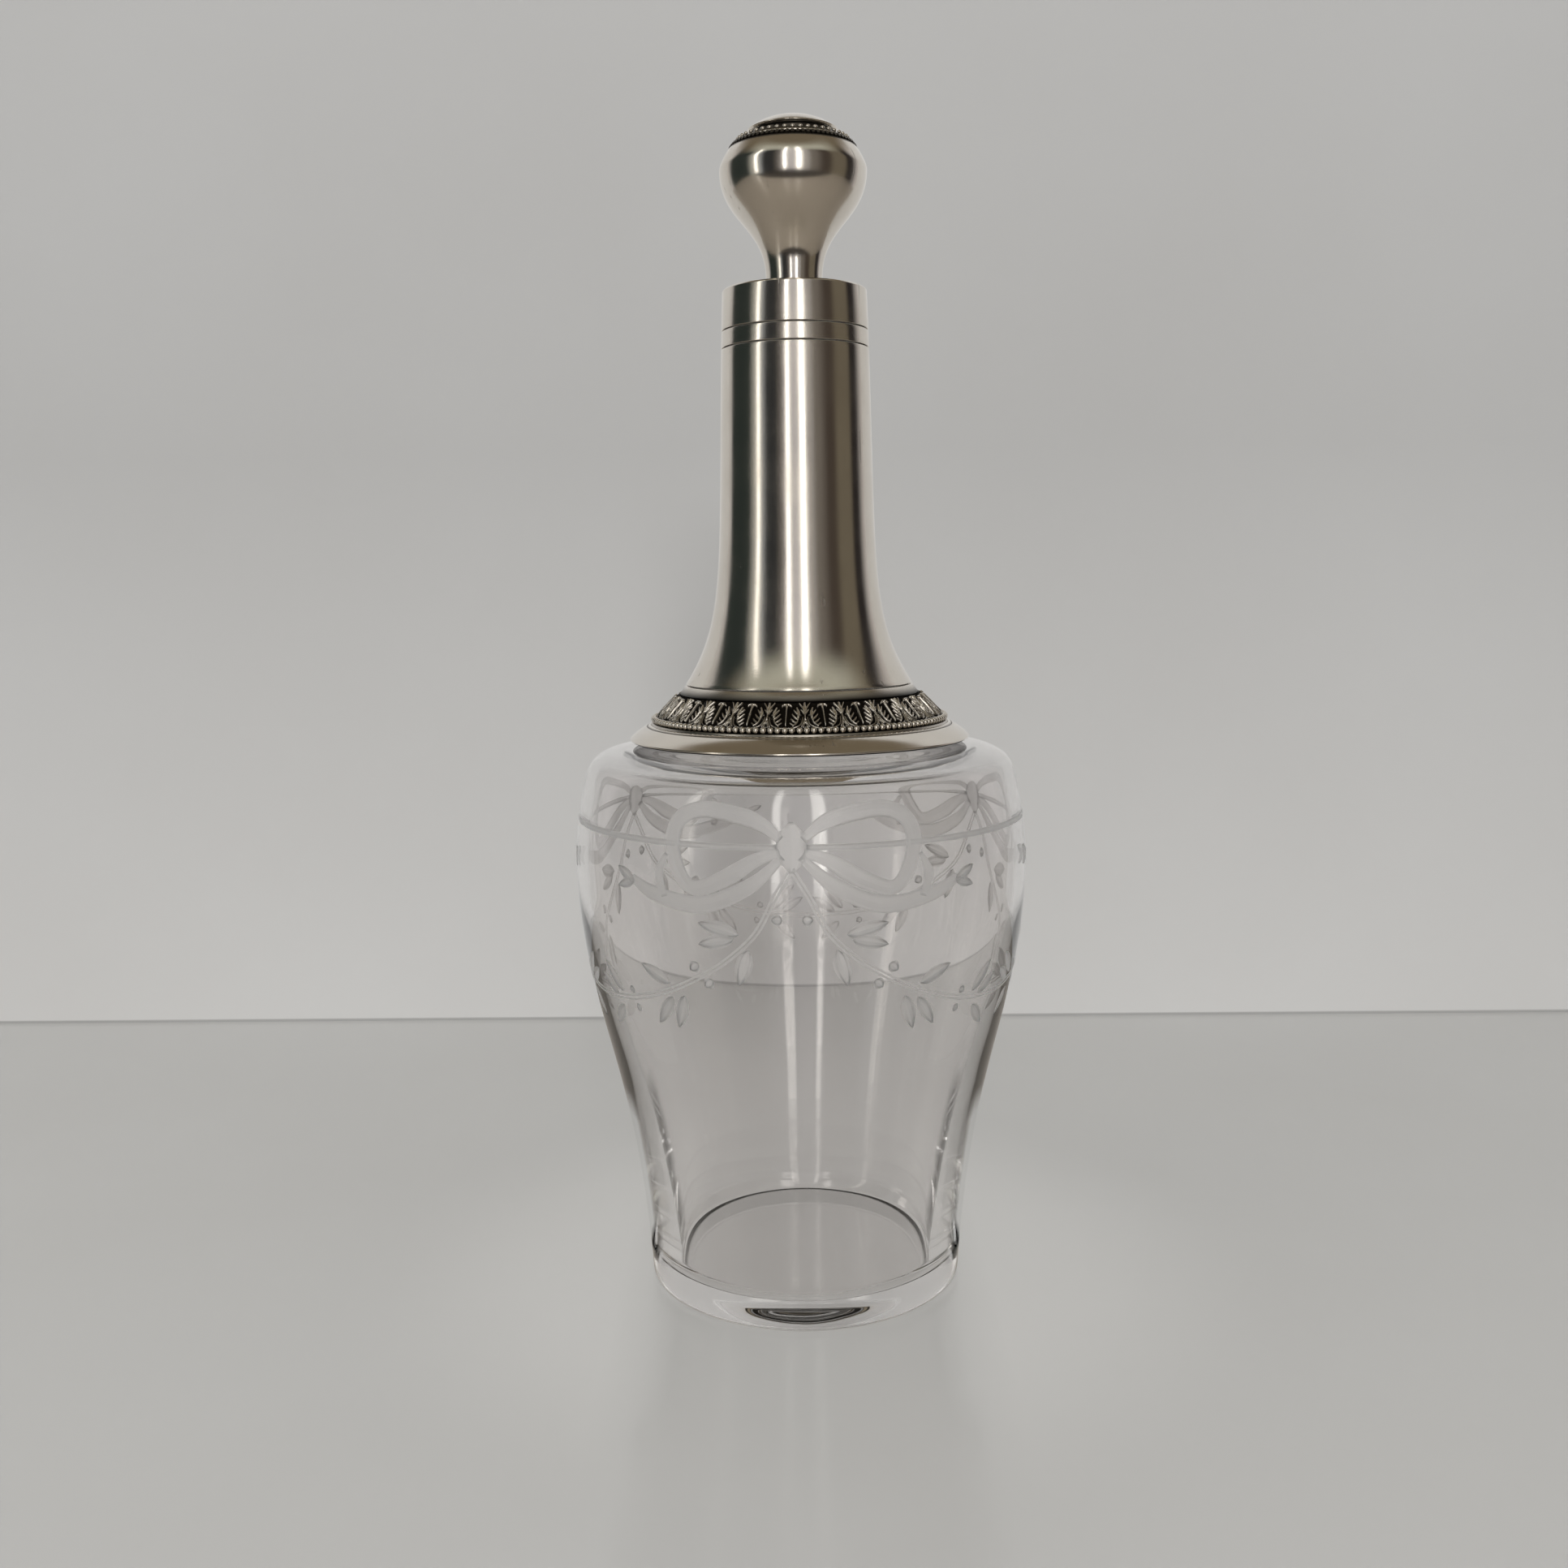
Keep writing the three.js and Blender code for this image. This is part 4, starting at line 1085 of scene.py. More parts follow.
# Tail tips, leaves and berries: base, tip and width
SWAG_LEAVES = (
    ((37.6, 107.4), (43.4, 110.4), 2.2),
    ((37.6, 107.8), (43.2, 106), 2),
    ((11.5, 98), (20.8, 100.2), 3),
    ((12.7, 97), (20.9, 95.3), 2.8),
    ((9.5, 94.8), (12, 86.5), 3.2),
    ((2.1, 101.5), (4.4, 101.5), 2.3),
    ((21.2, 90.9), (23.4, 89.2), 2.3),
    ((18, 87.4), (20, 85.6), 2.2),
    ((29.2, 85.4), (37.4, 88.9), 2.8),
    ((25.5, 83), (28.5, 74.8), 2.8),
    ((28.9, 82.2), (34.2, 75.1), 2.6),
    ((41.3, 82.2), (42.9, 81.2), 1.7),
    ((40, 78.1), (41.6, 77.1), 1.7),
    ((46, 80.5), (52.5, 87), 2.6),
    ((48.5, 79.5), (55, 83.5), 2.4),
    ((47, 77), (52.5, 71.5), 2.6),
)


def bow_drawing():
    """One bow with its knot, loops and tails, and the two half swags that hang from it."""
    drawing = Drawing()
    reach = GIRTH * math.pi / 3
    drawing.strip([(3, BAND_HEIGHT), (reach / 2, BAND_HEIGHT), (reach, BAND_HEIGHT)], [BAND_WIDTH], 16,
                  deepening=BAND_DEEPENING)
    drawing.strip([(0, 122.3), (0, 117), (0, 111.6)], [1, 5.6, 6.6, 6.4, 4.8, 1], 8, mirrored=False)
    drawing.strip([(2.4, 118.6), (6, 121.6), (11.5, 123.6), (20.2, 124.6), (25.8, 122.2), (27.3, 117.1),
                   (25.2, 111), (21.4, 107.7), (14.5, 110.2), (7.7, 114.3), (2.6, 116)],
                  [1.8, 3.7, 3.5, 3.9, 3.2, 3.8, 1.8])
    drawing.strip([(1.9, 115), (9.2, 108.6), (19.8, 104.2), (31.6, 105.6), (38.4, 108.2)],
                  [1.6, 3.4, 3.9, 3.5, 2])
    drawing.strip([(29, 105.2), (30.5, 110), (28.6, 114.6)], [1.8, 2.6, 1])
    stem = [(0, 112.4), (3.4, 106.8), (7.8, 98.5), (14, 92.5), (20, 88.5), (26.6, 85), (33.5, 82.2),
            (42.5, 79.8), (51, 78.8), (reach, 78.5)]
    for side in (-1, 1):
        drawing.strip(stem, [STEM_WIDTH], shift=side * STEM_SPACING / 2)
    for base, tip, width in SWAG_LEAVES:
        drawing.leaf(base, tip, width * LEAF_FULLNESS)
    return drawing.mesh("bow and swags")


def leaf_mesh():
    """A flat pointed leaf, one metre long and one wide, widest a little below its middle."""
    rows = 10
    places, cut = [], []
    for row in range(rows + 1):
        on = row / rows
        half = 0.5 * math.sin(math.pi * on ** 0.85) ** 0.8
        for across in ACROSS:
            places.append((across * half / MM, 0, on / MM))
            cut.append(LEAF_DEPTH * across ** 2)
    return new_mesh("leaf", places, ribbon_faces(rows), {"cut": cut})


def named(tree, name):
    """A number that the drawing holds for each vertex."""
    made = add(tree, "GeometryNodeInputNamedAttribute", {"Name": name}, data_type="FLOAT")
    return made.outputs["Attribute"]


def wrap_tree():
    """Grows leaves on a flat drawing's sprig points and lays it on the glass."""
    name = "lay on the glass"
    if name in bpy.data.node_groups:
        return bpy.data.node_groups[name]
    inputs = [
        ("Geometry", "NodeSocketGeometry", None),
        ("Leaf", "NodeSocketObject", None),
        ("Glass", "NodeSocketObject", None),
        ("Girth", "NodeSocketFloat", GIRTH * MM),
        ("Stand", "NodeSocketFloat", 0.02 * MM),
    ]
    tree, start, end = new_group(name, "GeometryNodeTree", inputs, [("Geometry", "NodeSocketGeometry")])
    tree.is_modifier = True
    sprig = maths(tree, "GREATER_THAN", named(tree, "sprig"), 0.5)
    leaf = add(tree, "GeometryNodeObjectInfo", {"Object": start.outputs["Leaf"]}).outputs["Geometry"]
    turn = add(tree, "ShaderNodeCombineXYZ", {"Y": named(tree, "turn")}).outputs[0]
    size = add(tree, "ShaderNodeCombineXYZ", {"X": named(tree, "wide"), "Y": 1.0, "Z": named(tree, "long")})
    leaves = add(tree, "GeometryNodeInstanceOnPoints", {
        "Points": start.outputs["Geometry"],
        "Selection": sprig,
        "Instance": leaf,
        "Rotation": turn,
        "Scale": size.outputs[0],
    })
    real = add(tree, "GeometryNodeRealizeInstances", {0: leaves.outputs[0]})
    strips = add(tree, "GeometryNodeDeleteGeometry", {"Geometry": start.outputs["Geometry"],
                                                      "Selection": sprig})
    joined = add(tree, "GeometryNodeJoinGeometry")
    tree.links.new(real.outputs[0], joined.inputs[0])
    tree.links.new(strips.outputs[0], joined.inputs[0])
    axes = axes_of(tree, add(tree, "GeometryNodeInputPosition").outputs[0])
    around = maths(tree, "DIVIDE", axes["X"], start.outputs["Girth"])
    way = add(tree, "ShaderNodeCombineXYZ", {
        "X": maths(tree, "SINE", around),
        "Y": times(tree, maths(tree, "COSINE", around), -1.0),
    }).outputs[0]
    axis = add(tree, "ShaderNodeCombineXYZ", {"Z": axes["Z"]}).outputs[0]
    glass = add(tree, "GeometryNodeObjectInfo", {"Object": start.outputs["Glass"]}).outputs["Geometry"]
    ray = add(tree, "GeometryNodeRaycast", {
        "Target Geometry": glass,
        "Source Position": axis,
        "Ray Direction": way,
        "Ray Length": 1.0,
    })
    lift = add(tree, "ShaderNodeVectorMath", {0: ray.outputs["Hit Normal"]}, operation="SCALE")
    tree.links.new(start.outputs["Stand"], lift.inputs["Scale"])
    spot = add(tree, "ShaderNodeVectorMath", {0: ray.outputs["Hit Position"], 1: lift.outputs[0]},
               operation="ADD")
    laid = add(tree, "GeometryNodeSetPosition", {"Geometry": joined.outputs[0], "Position": spot.outputs[0]})
    tree.links.new(laid.outputs[0], end.inputs["Geometry"])
    return tree


def engraving_mesh(glass, material):
    """The bow and its swags laid on the glass and repeated round it."""
    face = linked("glass face", turned_mesh("glass face", glass_side(), closed=False))
    leaf = linked("leaf form", leaf_mesh())
    wrap = {"Leaf": leaf, "Glass": face, "Girth": GIRTH * MM, "Stand": glass.cut_stand}
    ring = {"Count": glass.bows, "Phase": glass.bow_azimuth, "Wander": 0.0, "Weld": 0.001 * MM,
            "Material": material}
    mesh = baked("engraving", bow_drawing(), [(wrap_tree(), wrap), (ring_tree(), ring)], glass.cut_film)
    for made in (face, leaf):
        bpy.data.objects.remove(made)
    mesh.shade_smooth()
    return mesh


# The room that the silver and the glass mirror: what stands between which two azimuths, in degrees, and its
# tone. Between two things the tone changes evenly.
ROOM = (
    ("pale wall, left", -180, -116, (0.62, 0.6, 0.59)),
    ("dark doorway", -111, -74, (0.027, 0.036, 0.033)),
    ("side wall", -67, -63, (0.4, 0.4, 0.37)),
    ("cupboard's lit edge", -52, -50, (0.34, 0.36, 0.38)),
    ("brown cupboard", -46, -31, (0.032, 0.034, 0.035)),
    ("cupboard's end", -26, -24, (0.11, 0.1, 0.09)),
    ("shutter", -18, -15, (0.3, 0.28, 0.28)),
    ("window frame", -7, 1, (0.6, 0.58, 0.6)),
    ("lit reveal", 21, 24, (0.42, 0.4, 0.39)),
    ("lit wall", 29, 36, (0.2, 0.18, 0.16)),
    ("brown wall", 48, 58, (0.072, 0.056, 0.045)),
    ("olive curtain", 66, 88, (0.18, 0.155, 0.115)),
    ("dark corner", 93, 104, (0.024, 0.02, 0.02)),
    ("pale wall, right", 118, 180, (0.62, 0.59, 0.58)),
)
# The windows in that room: two azimuths in degrees, the sines of the sill's and the head's elevation, and
# the tone
WINDOWS = (
    ("left window", -61, -56, -0.2, 0.72, (3.0, 2.9, 2.7)),
    ("middle window", -14.5, -10.5, -0.22, 0.8, (4.6, 4.5, 4.3)),
    ("right window", 6, 13, -0.22, 0.8, (4.2, 4.1, 3.9)),
)
CEILING_TONE = (0.56, 0.56, 0.48)
ZENITH_TONE = (0.2, 0.165, 0.115)
UNDER_SILL_TONE = (0.05, 0.045, 0.04)
DAYLIGHT_TONE = (0.6, 0.595, 0.585)
# Sines of the elevations between which the dark under the sills ends, the ceiling starts, and its zenith
# starts
SILL_LEVELS = (-0.3, -0.22)
CEILING_LEVELS = (0.56, 0.82)
ZENITH_LEVELS = (0.82, 0.93)
# How soft a window's edge is: in degrees, and as a sine
JAMB_SOFTNESS = 0.8
SILL_SOFTNESS = 0.04
# A direction is on the viewer's side up to the first Y and behind the carafe from the second
FORWARD_LEVELS = (-0.3, 0.1)


def band(tree, value, low, high, softness):
    """1 between two values and 0 outside them."""
    risen = remap(tree, value, low - softness, low + softness, 0.0, 1.0)
    fallen = remap(tree, value, high - softness, high + softness, 1.0, 0.0)
    return times(tree, risen, fallen)


def room_walls(tree, around, level, forward):
    """The colour of the room in each direction. Only the viewer's side has a ceiling and dark sills."""
    ramp = add(tree, "ShaderNodeValToRGB", {0: remap(tree, around, -180.0, 180.0, 0.0, 1.0)})
    elements = ramp.color_ramp.elements
    while len(elements) > 1:
        elements.remove(elements[-1])
    for index, (_, start, end, tone) in enumerate(ROOM):
        for order, edge in enumerate((start, end)):
            place = (edge + 180) / 360
            element = elements[0] if index == 0 and order == 0 else elements.new(place)
            element.position = place
            element.color = solid(tone)
    walls = ramp.outputs["Color"]
    under = times(tree, remap(tree, level, *SILL_LEVELS, 1.0, 0.0, "SMOOTHSTEP"), forward)
    walls = mixed(tree, under, walls, solid(UNDER_SILL_TONE))
    zenith = remap(tree, level, *ZENITH_LEVELS, 0.0, 1.0)
    ceiling = mixed(tree, zenith, solid(CEILING_TONE), solid(ZENITH_TONE))
    ceiling = mixed(tree, forward, solid(ZENITH_TONE), ceiling)
    seen = mixed(tree, remap(tree, level, *CEILING_LEVELS, 0.0, 1.0, "SMOOTHSTEP"), walls, ceiling)
    for _, start, end, sill, head, tone in WINDOWS:
        across = band(tree, around, start, end, JAMB_SOFTNESS)
        pane = times(tree, across, band(tree, level, sill, head, SILL_SOFTNESS))
        seen = mixed(tree, pane, seen, solid(tone))
    return seen


def room_world():
    """Plain daylight on matte things, and a room of bands for what mirrors or bends light."""
    world = bpy.data.worlds.new("room")
    world.use_nodes = True
    tree = world.node_tree
    tree.nodes.clear()
    way = axes_of(tree, add(tree, "ShaderNodeTexCoord").outputs["Generated"])
    azimuth = maths(tree, "ARCTAN2", way["X"], times(tree, way["Y"], -1.0))
    forward = remap(tree, way["Y"], *FORWARD_LEVELS, 1.0, 0.0)
    walls = room_walls(tree, times(tree, azimuth, 360 / TURN), way["Z"], forward)
    room = add(tree, "ShaderNodeBackground", {"Color": walls, "Strength": 1.0}).outputs[0]
    plain = add(tree, "ShaderNodeBackground", {"Color": solid(DAYLIGHT_TONE), "Strength": 1.0}).outputs[0]
    path = add(tree, "ShaderNodeLightPath").outputs
    shiny = maths(tree, "MAXIMUM", path["Is Glossy Ray"], path["Is Transmission Ray"])
    output = add(tree, "ShaderNodeOutputWorld")
    tree.links.new(mixed_shaders(tree, shiny, plain, room), output.inputs["Surface"])
    bpy.context.scene.world = world


CLOUD_TONE = (0.96, 0.955, 0.95)
# Painted light: the table is paler on both sides of the foot, as if more light fell there. It turns pale
# between two distances to the side, and that fades between two distances from the axis, in metres.
PAINTED_LIGHT_SIDES = (0.03, 0.046)
PAINTED_LIGHT_FADING = (0.05, 0.12)
PAINTED_LIGHT_FACTOR = 1.17
# Heights in metres: where the backdrop's painted shading reaches its upper, darker tone, where the dark joint
# at the table ends, and where the backdrop ends in mirrors
WALL_SHADE_TOP = 0.22
JOINT_LEVELS = (0.0006, 0.0012)
MIRRORED_WALL_END = (0.5, 0.58)
# What the joint leaves of the backdrop's tone, as a share
JOINT_SHADE = 0.62


def stage_colour(tree, place, graded):
    """Faint clouds over a stage colour."""
    cloud = remap(tree, noise(tree, place, scale=6.0, detail=3.0), 0.3, 0.7, 0.0, 1.0)
    return mixed(tree, cloud, graded, solid(CLOUD_TONE), "MULTIPLY")


def mirrored_ray(tree):
    """1 where the silver mirrors a surface, and 0 where it is seen directly or through the glass."""
    path = add(tree, "ShaderNodeLightPath").outputs
    return maths(tree, "SUBTRACT", path["Is Glossy Ray"], path["Is Transmission Ray"], clamp=True)


def see_through_where(tree, surface, mask, output):
    """Shows a surface, or what lies behind it where the mask is 1."""
    clear = add(tree, "ShaderNodeBsdfTransparent").outputs[0]
    tree.links.new(mixed_shaders(tree, mask, surface, clear), output.inputs["Surface"])


def table_material(tone, mirrored_tone, table_end):
    """A smooth pale table with painted light on both sides of the foot. In mirrors it ends a short way in
    front of the carafe.
    """
    material, tree, output = new_material("table")
    place = object_place(tree)
    axes = axes_of(tree, place)
    mirrored = mirrored_ray(tree)
    away = add(tree, "ShaderNodeVectorMath", {0: place}, operation="LENGTH").outputs["Value"]
    fading = remap(tree, away, *PAINTED_LIGHT_FADING, 1.0, 0.0, "SMOOTHSTEP")
    across = maths(tree, "ABSOLUTE", axes["X"])
    # Painted light: the table is paler on both sides of the foot
    painted_light_beside_foot = times(tree, remap(tree, across, *PAINTED_LIGHT_SIDES, 0.0, 1.0), fading)
    lit = mixed(tree, painted_light_beside_foot, solid(tone), solid([PAINTED_LIGHT_FACTOR * part for part in tone]))
    shade = mixed(tree, mirrored, lit, solid(mirrored_tone))
    colour_here = stage_colour(tree, place, shade)
    shader = add(tree, "ShaderNodeBsdfPrincipled", {"Base Color": colour_here, "Roughness": 0.14})
    beyond = maths(tree, "LESS_THAN", axes["Y"], table_end)
    see_through_where(tree, shader.outputs[0], times(tree, beyond, mirrored), output)
    return material


def backdrop_material(painted_lit_tone, painted_shaded_tone, mirrored_tone):
    """A matte wall with painted shading, lighter at the table and darker upwards, with a thin dark joint at
    the table. It is open from behind.
    """
    material, tree, output = new_material("backdrop")
    place = object_place(tree)
    level = axes_of(tree, place)["Z"]
    mirrored = mirrored_ray(tree)
    # Painted shading: the wall goes from the lighter tone at the table to the darker one higher up
    graded = mixed(tree, remap(tree, level, 0.0, WALL_SHADE_TOP, 0.0, 1.0), solid(painted_lit_tone), solid(painted_shaded_tone))
    graded = mixed(tree, mirrored, graded, solid(mirrored_tone))
    joint = remap(tree, level, *JOINT_LEVELS, JOINT_SHADE, 1.0)
    shaded = mixed(tree, 1.0, stage_colour(tree, place, graded), joint, "MULTIPLY")
    shader = add(tree, "ShaderNodeBsdfPrincipled", {"Base Color": shaded, "Roughness": 0.8})
    side = add(tree, "ShaderNodeNewGeometry").outputs["Backfacing"]
    above = times(tree, remap(tree, level, *MIRRORED_WALL_END, 0.0, 1.0), mirrored)
    see_through_where(tree, shader.outputs[0], maths(tree, "MAXIMUM", side, above), output)
    return material


# Light mirrors inside the thick foot more often than the renderer's own limit allows.
INNER_MIRRORINGS = 12
FLOOR_STEPS = 96
# The floor lies this far under the foot, in millimetres, so that the two don't touch
FLOOR_DROP = 0.05
# The backdrop, in millimetres. It stands askew: its left end is further back, and its right end nearer.
WALL_HALF_WIDTH = 380
WALL_HEIGHT = 700
WALL_LEFT_BACK = 3
WALL_RIGHT_FORWARD = 4
# The camera that fits the photograph. Lens and sensor are millimetres, turns are degrees, places are metres.
CAMERA_LENS = 35.24
CAMERA_SENSOR = 36
CAMERA_PITCH = -7.89
CAMERA_YAW = 0.606
CAMERA_ROLL = -0.75
CAMERA_PLACE = (0, -0.3733, 0.1749)
CAMERA_NEAREST = 0.01


def area_lamp(name, place, size, power):
    """A soft square lamp that faces the carafe and isn't mirrored in it."""
    light = bpy.data.lights.new(name, "AREA")
    light.shape = "SQUARE"
    light.size = size
    light.energy = power
    lamp = linked(name, light)
    aim = -Vector(place)
    lamp.rotation_euler = aim.to_track_quat("-Z", "Y").to_euler()
    lamp.location = place
    lamp.visible_glossy = False
    lamp.visible_transmission = False


def fitted_camera():
    """The camera, rolled round its own axis, then pitched down, then turned sideways."""
    camera_data = bpy.data.cameras.new("camera")
    camera_data.lens = CAMERA_LENS
    camera_data.sensor_width = CAMERA_SENSOR
    camera_data.clip_start = CAMERA_NEAREST
    camera = linked("camera", camera_data)
    pitch, yaw, roll = (math.radians(turn) for turn in (CAMERA_PITCH, CAMERA_YAW, CAMERA_ROLL))
    camera.matrix_world = (Matrix.Translation(CAMERA_PLACE) @ Matrix.Rotation(yaw, 4, "Z")
                           @ Matrix.Rotation(math.pi / 2 + pitch, 4, "X") @ Matrix.Rotation(roll, 4, "Z"))
    return camera


class CARAFE_OT_stage(bpy.types.Operator):
    """Makes the floor, the backdrop, the light, the mirrored room and the camera"""

    bl_idname = "carafe.stage"
    bl_label = "Stage and camera"

    def execute(self, context):
        stage = context.scene.carafe_stage
        rim = [(*place, -FLOOR_DROP) for place in circle((0, 0), stage.floor_radius / MM, FLOOR_STEPS)]
        floor = linked("floor", new_mesh("floor", rim, [tuple(range(FLOOR_STEPS))]))
        floor.data.materials.append(table_material(stage.floor_tone, stage.mirrored_floor_tone,
                                                   stage.mirrored_table))
        left_depth = stage.wall_distance / MM + WALL_LEFT_BACK
        right_depth = stage.wall_distance / MM - WALL_RIGHT_FORWARD
        corners = [(-WALL_HALF_WIDTH, left_depth, -FLOOR_DROP), (WALL_HALF_WIDTH, right_depth, -FLOOR_DROP),
                   (WALL_HALF_WIDTH, right_depth, WALL_HEIGHT), (-WALL_HALF_WIDTH, left_depth, WALL_HEIGHT)]
        wall = linked("backdrop", new_mesh("backdrop", corners, [(0, 1, 2, 3)]))
        wall.data.materials.append(backdrop_material(stage.painted_lit_wall_tone, stage.painted_shaded_wall_tone,
                                                     stage.mirrored_wall_tone))
        room_world()
        area_lamp("key lamp", place=(0.08, -1.2, 0.85), size=0.35, power=9.0)
        area_lamp("fill lamp", place=(-1.1, -0.5, 1.1), size=0.9, power=3.0)
        context.scene.camera = fitted_camera()
        context.scene.view_settings.view_transform = "Standard"
        context.scene.cycles.glossy_bounces = INNER_MIRRORINGS
        return {"FINISHED"}


class CARAFE_OT_glass(bpy.types.Operator):
    """Makes the clear glass body"""

    bl_idname = "carafe.glass"
    bl_label = "Glass body"

    def execute(self, context):
        glass = context.scene.carafe_glass
        mesh = turned_mesh("glass body", glass_profile(glass), closed=False, steps=GLASS_STEPS)
        material = glass_material("clear glass", glass.tint, 0.0, pale_edge_height=glass.pale_edge)
        placed("glass_body_fine", mesh, material, CARAFE, "clear_glass", "glass_body")
        return {"FINISHED"}


class CARAFE_OT_engraving(bpy.types.Operator):
    """Lays the ground bows, ribbons and laurel swags on the glass"""

    bl_idname = "carafe.engraving"
    bl_label = "Engraving"

    def execute(self, context):
        glass = context.scene.carafe_glass
        material = glass_material("ground cuts", CUT_TINT, 0.38, glass.cut_depth, clearness=0.92)
        placed("engraving", engraving_mesh(glass, material), material, CARAFE, "clear_glass")
        return {"FINISHED"}


class CARAFE_OT_mount(bpy.types.Operator):
    """Makes the silver skirt, sleeve, band and mouth collar"""

    bl_idname = "carafe.mount"
    bl_label = "Silver mount"

    def execute(self, context):
        silver = context.scene.carafe_silver
        wall = silver.wall / MM
        satin = silver_material("satin silver", silver)
        placed("shoulder_flange_fine", flange_mesh(silver), satin, CARAFE, "silver", "shoulder_flange")
        outer = neck_line(SLEEVE_FOOT, SLEEVE_TOP, 90)
        inner = level_ends(beside(outer, -wall), SLEEVE_FOOT, SLEEVE_TOP)
        sleeve = silver_ring("neck sleeve", outer, inner, silver)
        placed("neck_sleeve_fine", sleeve, satin, CARAFE, "silver", "neck_sleeve")
        outer = neck_line(BAND_FOOT, BAND_TOP, 4)
        collar_band = silver_ring("collar band", outer, outer - (wall, 0), silver)
        placed("collar_band_fine", collar_band, satin, CARAFE, "silver", "collar_band")
        foot = neck_line(COLLAR_FOOT, MOUTH_TOP, 1)[0, 0]
        opening = SOCKET_MOUTH + MOUTH_SETBACK
        outer = np.array([(foot, COLLAR_FOOT), (MOUTH_RADIUS, MOUTH_TOP - MOUTH_BEVEL),
                          (MOUTH_RADIUS - MOUTH_BEVEL, MOUTH_TOP)])
        inner = np.array([(foot - wall, COLLAR_FOOT), (MOUTH_RADIUS - wall, MOUTH_TOP - wall),
                          (opening, MOUTH_TOP - wall), (opening, MOUTH_TOP)])
        collar = silver_ring("mouth collar", outer, inner, silver)
        placed("mouth_collar_fine", collar, satin, CARAFE, "silver", "mouth_collar")
        return {"FINISHED"}


class CARAFE_OT_frieze(bpy.types.Operator):
    """Makes the cast leaf-and-dart frieze and the bead wire under it"""

    bl_idname = "carafe.frieze"
    bl_label = "Frieze and beads"

    def execute(self, context):
        silver = context.scene.carafe_silver
        dark = darkened_silver(silver)
        mesh = ring_mesh("leaf frieze", frieze_patch(silver), dark, silver.frieze_repeats,
                         silver.frieze_azimuth, weld=0.005 * MM)
        placed("leaf_frieze_fine", mesh, dark, CARAFE, "darkened_silver", "leaf_frieze")
        bright = bead_silver(silver)
        radius = silver.bead_radius / MM
        centre = CONE_FOOT + (JOINT_GAP / 2 + radius, JOINT_GAP / 2 + radius)
        bead = bead_mesh("bead", centre, radius, stretch=1.05)
        beads = ring_mesh("bead wire", bead, bright, silver.beads, wander=0.002)
        placed("bead_wire_fine", beads, bright, CARAFE, "silver", "bead_wire")
        # A black core under the beads paints the shade between them
        core_share = 0.45
        painted_shade_core = turned_mesh("bead core", circle(centre, radius * core_share, 8), tarnish_and_shade=lambda *_: 1.0)
        placed("bead_wire_core", painted_shade_core, bright, CARAFE, "silver")
        return {"FINISHED"}


class CARAFE_OT_stopper(bpy.types.Operator):
    """Makes the stopper's knob, rings, dome and ground plug"""

    bl_idname = "carafe.stopper"
    bl_label = "Stopper"

    def execute(self, context):
        silver = context.scene.carafe_silver
        stopper = context.scene.carafe_stopper
        satin = silver_material("satin silver", silver)
        bright = bead_silver(silver)
        dark = darkened_silver(silver)
        placed("stopper_knob_fine", knob_mesh(stopper, silver), satin, STOPPER, "silver", "stopper_knob")
        placed("toothed_ring_fine", toothed_mesh(stopper, dark), dark, STOPPER, "darkened_silver",
               "stopper_toothed_ring")
        wire_arc, bead_arc, _ = ornament_arcs(stopper)
        seat = stopper.seat_depth / MM
        wire_radius = stopper.fillet_radius / MM
        wire_centre = crown_line(wire_arc, wire_arc, JOINT_GAP + wire_radius - seat, 1)[0]
        wire = turned_mesh("stopper fillet", circle(wire_centre, wire_radius, 12))
        placed("stopper_fillet_fine", wire, bright, STOPPER, "silver", "stopper_fillet")
        bead_radius = stopper.bead_radius / MM
        bead_centre = crown_line(bead_arc, bead_arc, JOINT_GAP + bead_radius - seat, 1)[0]
        bead = bead_mesh("knob bead", bead_centre, bead_radius, stretch=1.2)
        beads = ring_mesh("stopper beads", bead, bright, stopper.beads, wander=0.004)
        placed("stopper_bead_ring_fine", beads, bright, STOPPER, "silver", "stopper_bead_ring")
        placed("stopper_dome_fine", dome_mesh(stopper), satin, STOPPER, "silver", "stopper_dome")
        ground = glass_material("ground glass", GROUND_TINT, 0.45)
        plug = turned_mesh("stopper plug", plug_profile(), closed=False)
        placed("stopper_plug_fine", plug, ground, STOPPER, "ground_glass", "stopper_plug")
        return {"FINISHED"}


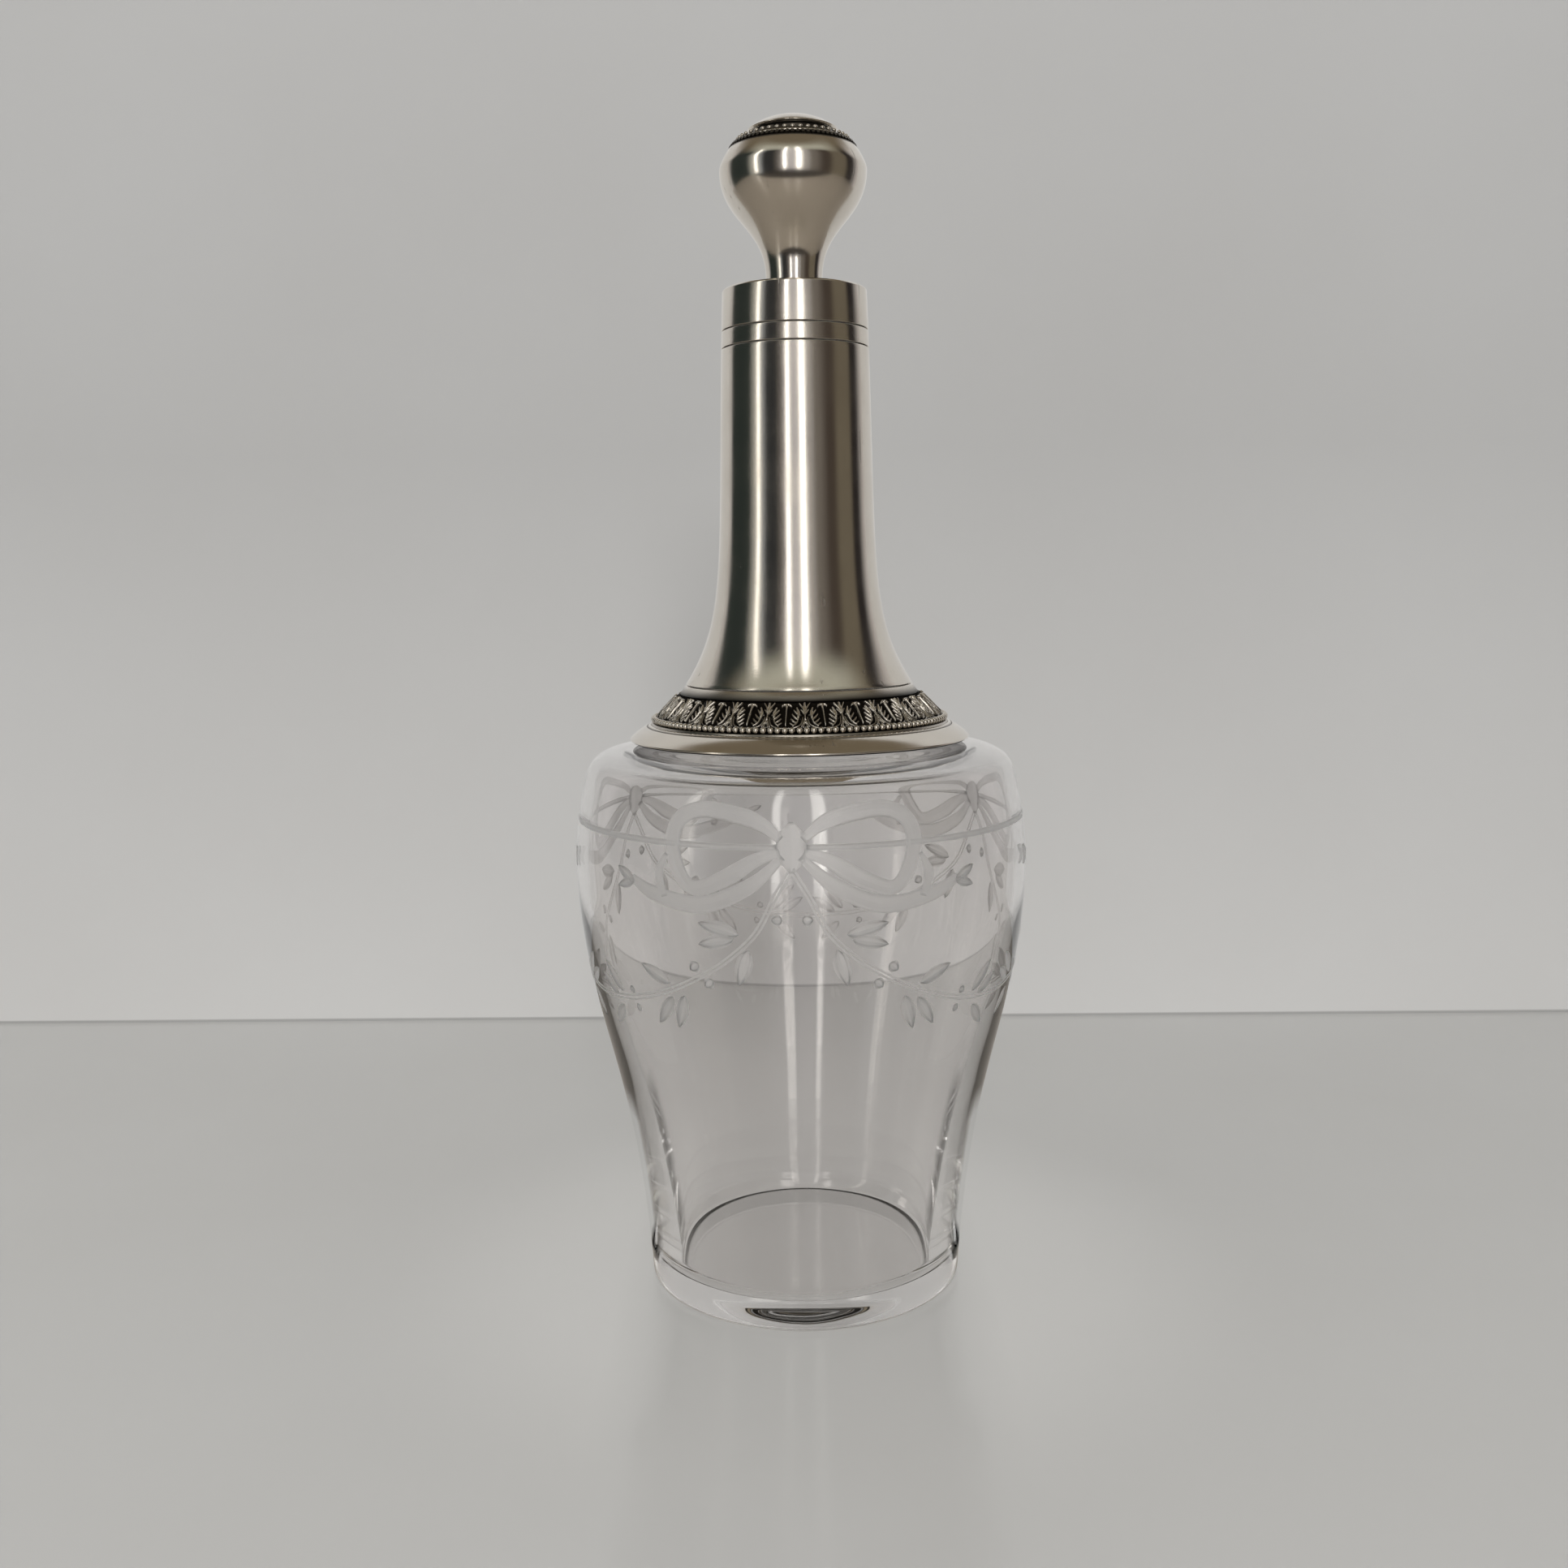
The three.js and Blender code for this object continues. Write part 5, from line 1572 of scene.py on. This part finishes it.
class CARAFE_OT_plaster(bpy.types.Operator):
    """Gives the two hidden beds of plaster their material"""

    bl_idname = "carafe.plaster"
    bl_label = "Plaster"

    def execute(self, context):
        for node in ("plaster_bed", "stopper_plaster"):
            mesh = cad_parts[node].data
            mesh.materials.clear()
            mesh.materials.append(plaster_material())
        return {"FINISHED"}


class CARAFE_PT_panel(bpy.types.Panel):
    """Lists the sizes and the steps that build the carafe"""

    bl_idname = "CARAFE_PT_panel"
    bl_label = "Wine carafe"
    bl_space_type = "VIEW_3D"
    bl_region_type = "UI"
    bl_category = "Carafe"

    def draw(self, context):
        layout = self.layout
        for group in PROPERTY_GROUPS:
            settings = getattr(context.scene, group)
            box = layout.box()
            box.label(text=type(settings).__doc__)
            for name in type(settings).__annotations__:
                box.prop(settings, name)
        for operator in OPERATORS:
            layout.operator(operator.bl_idname)


PROPERTY_GROUPS = {
    "carafe_glass": CarafeGlass,
    "carafe_silver": CarafeSilver,
    "carafe_stopper": CarafeStopper,
    "carafe_stage": CarafeStage,
}
OPERATORS = (
    CARAFE_OT_stage,
    CARAFE_OT_glass,
    CARAFE_OT_engraving,
    CARAFE_OT_mount,
    CARAFE_OT_frieze,
    CARAFE_OT_stopper,
    CARAFE_OT_plaster,
)


def register():
    for name, group in PROPERTY_GROUPS.items():
        bpy.utils.register_class(group)
        setattr(bpy.types.Scene, name, PointerProperty(type=group))
    for operator in OPERATORS:
        bpy.utils.register_class(operator)
    bpy.utils.register_class(CARAFE_PT_panel)


def unregister():
    bpy.utils.unregister_class(CARAFE_PT_panel)
    for operator in reversed(OPERATORS):
        bpy.utils.unregister_class(operator)
    for name, group in PROPERTY_GROUPS.items():
        delattr(bpy.types.Scene, name)
        bpy.utils.unregister_class(group)


def main():
    register()
    bpy.ops.carafe.stage()
    bpy.ops.carafe.glass()
    bpy.ops.carafe.engraving()
    bpy.ops.carafe.mount()
    bpy.ops.carafe.frieze()
    bpy.ops.carafe.stopper()
    bpy.ops.carafe.plaster()


if __name__ == "__main__":
    main()
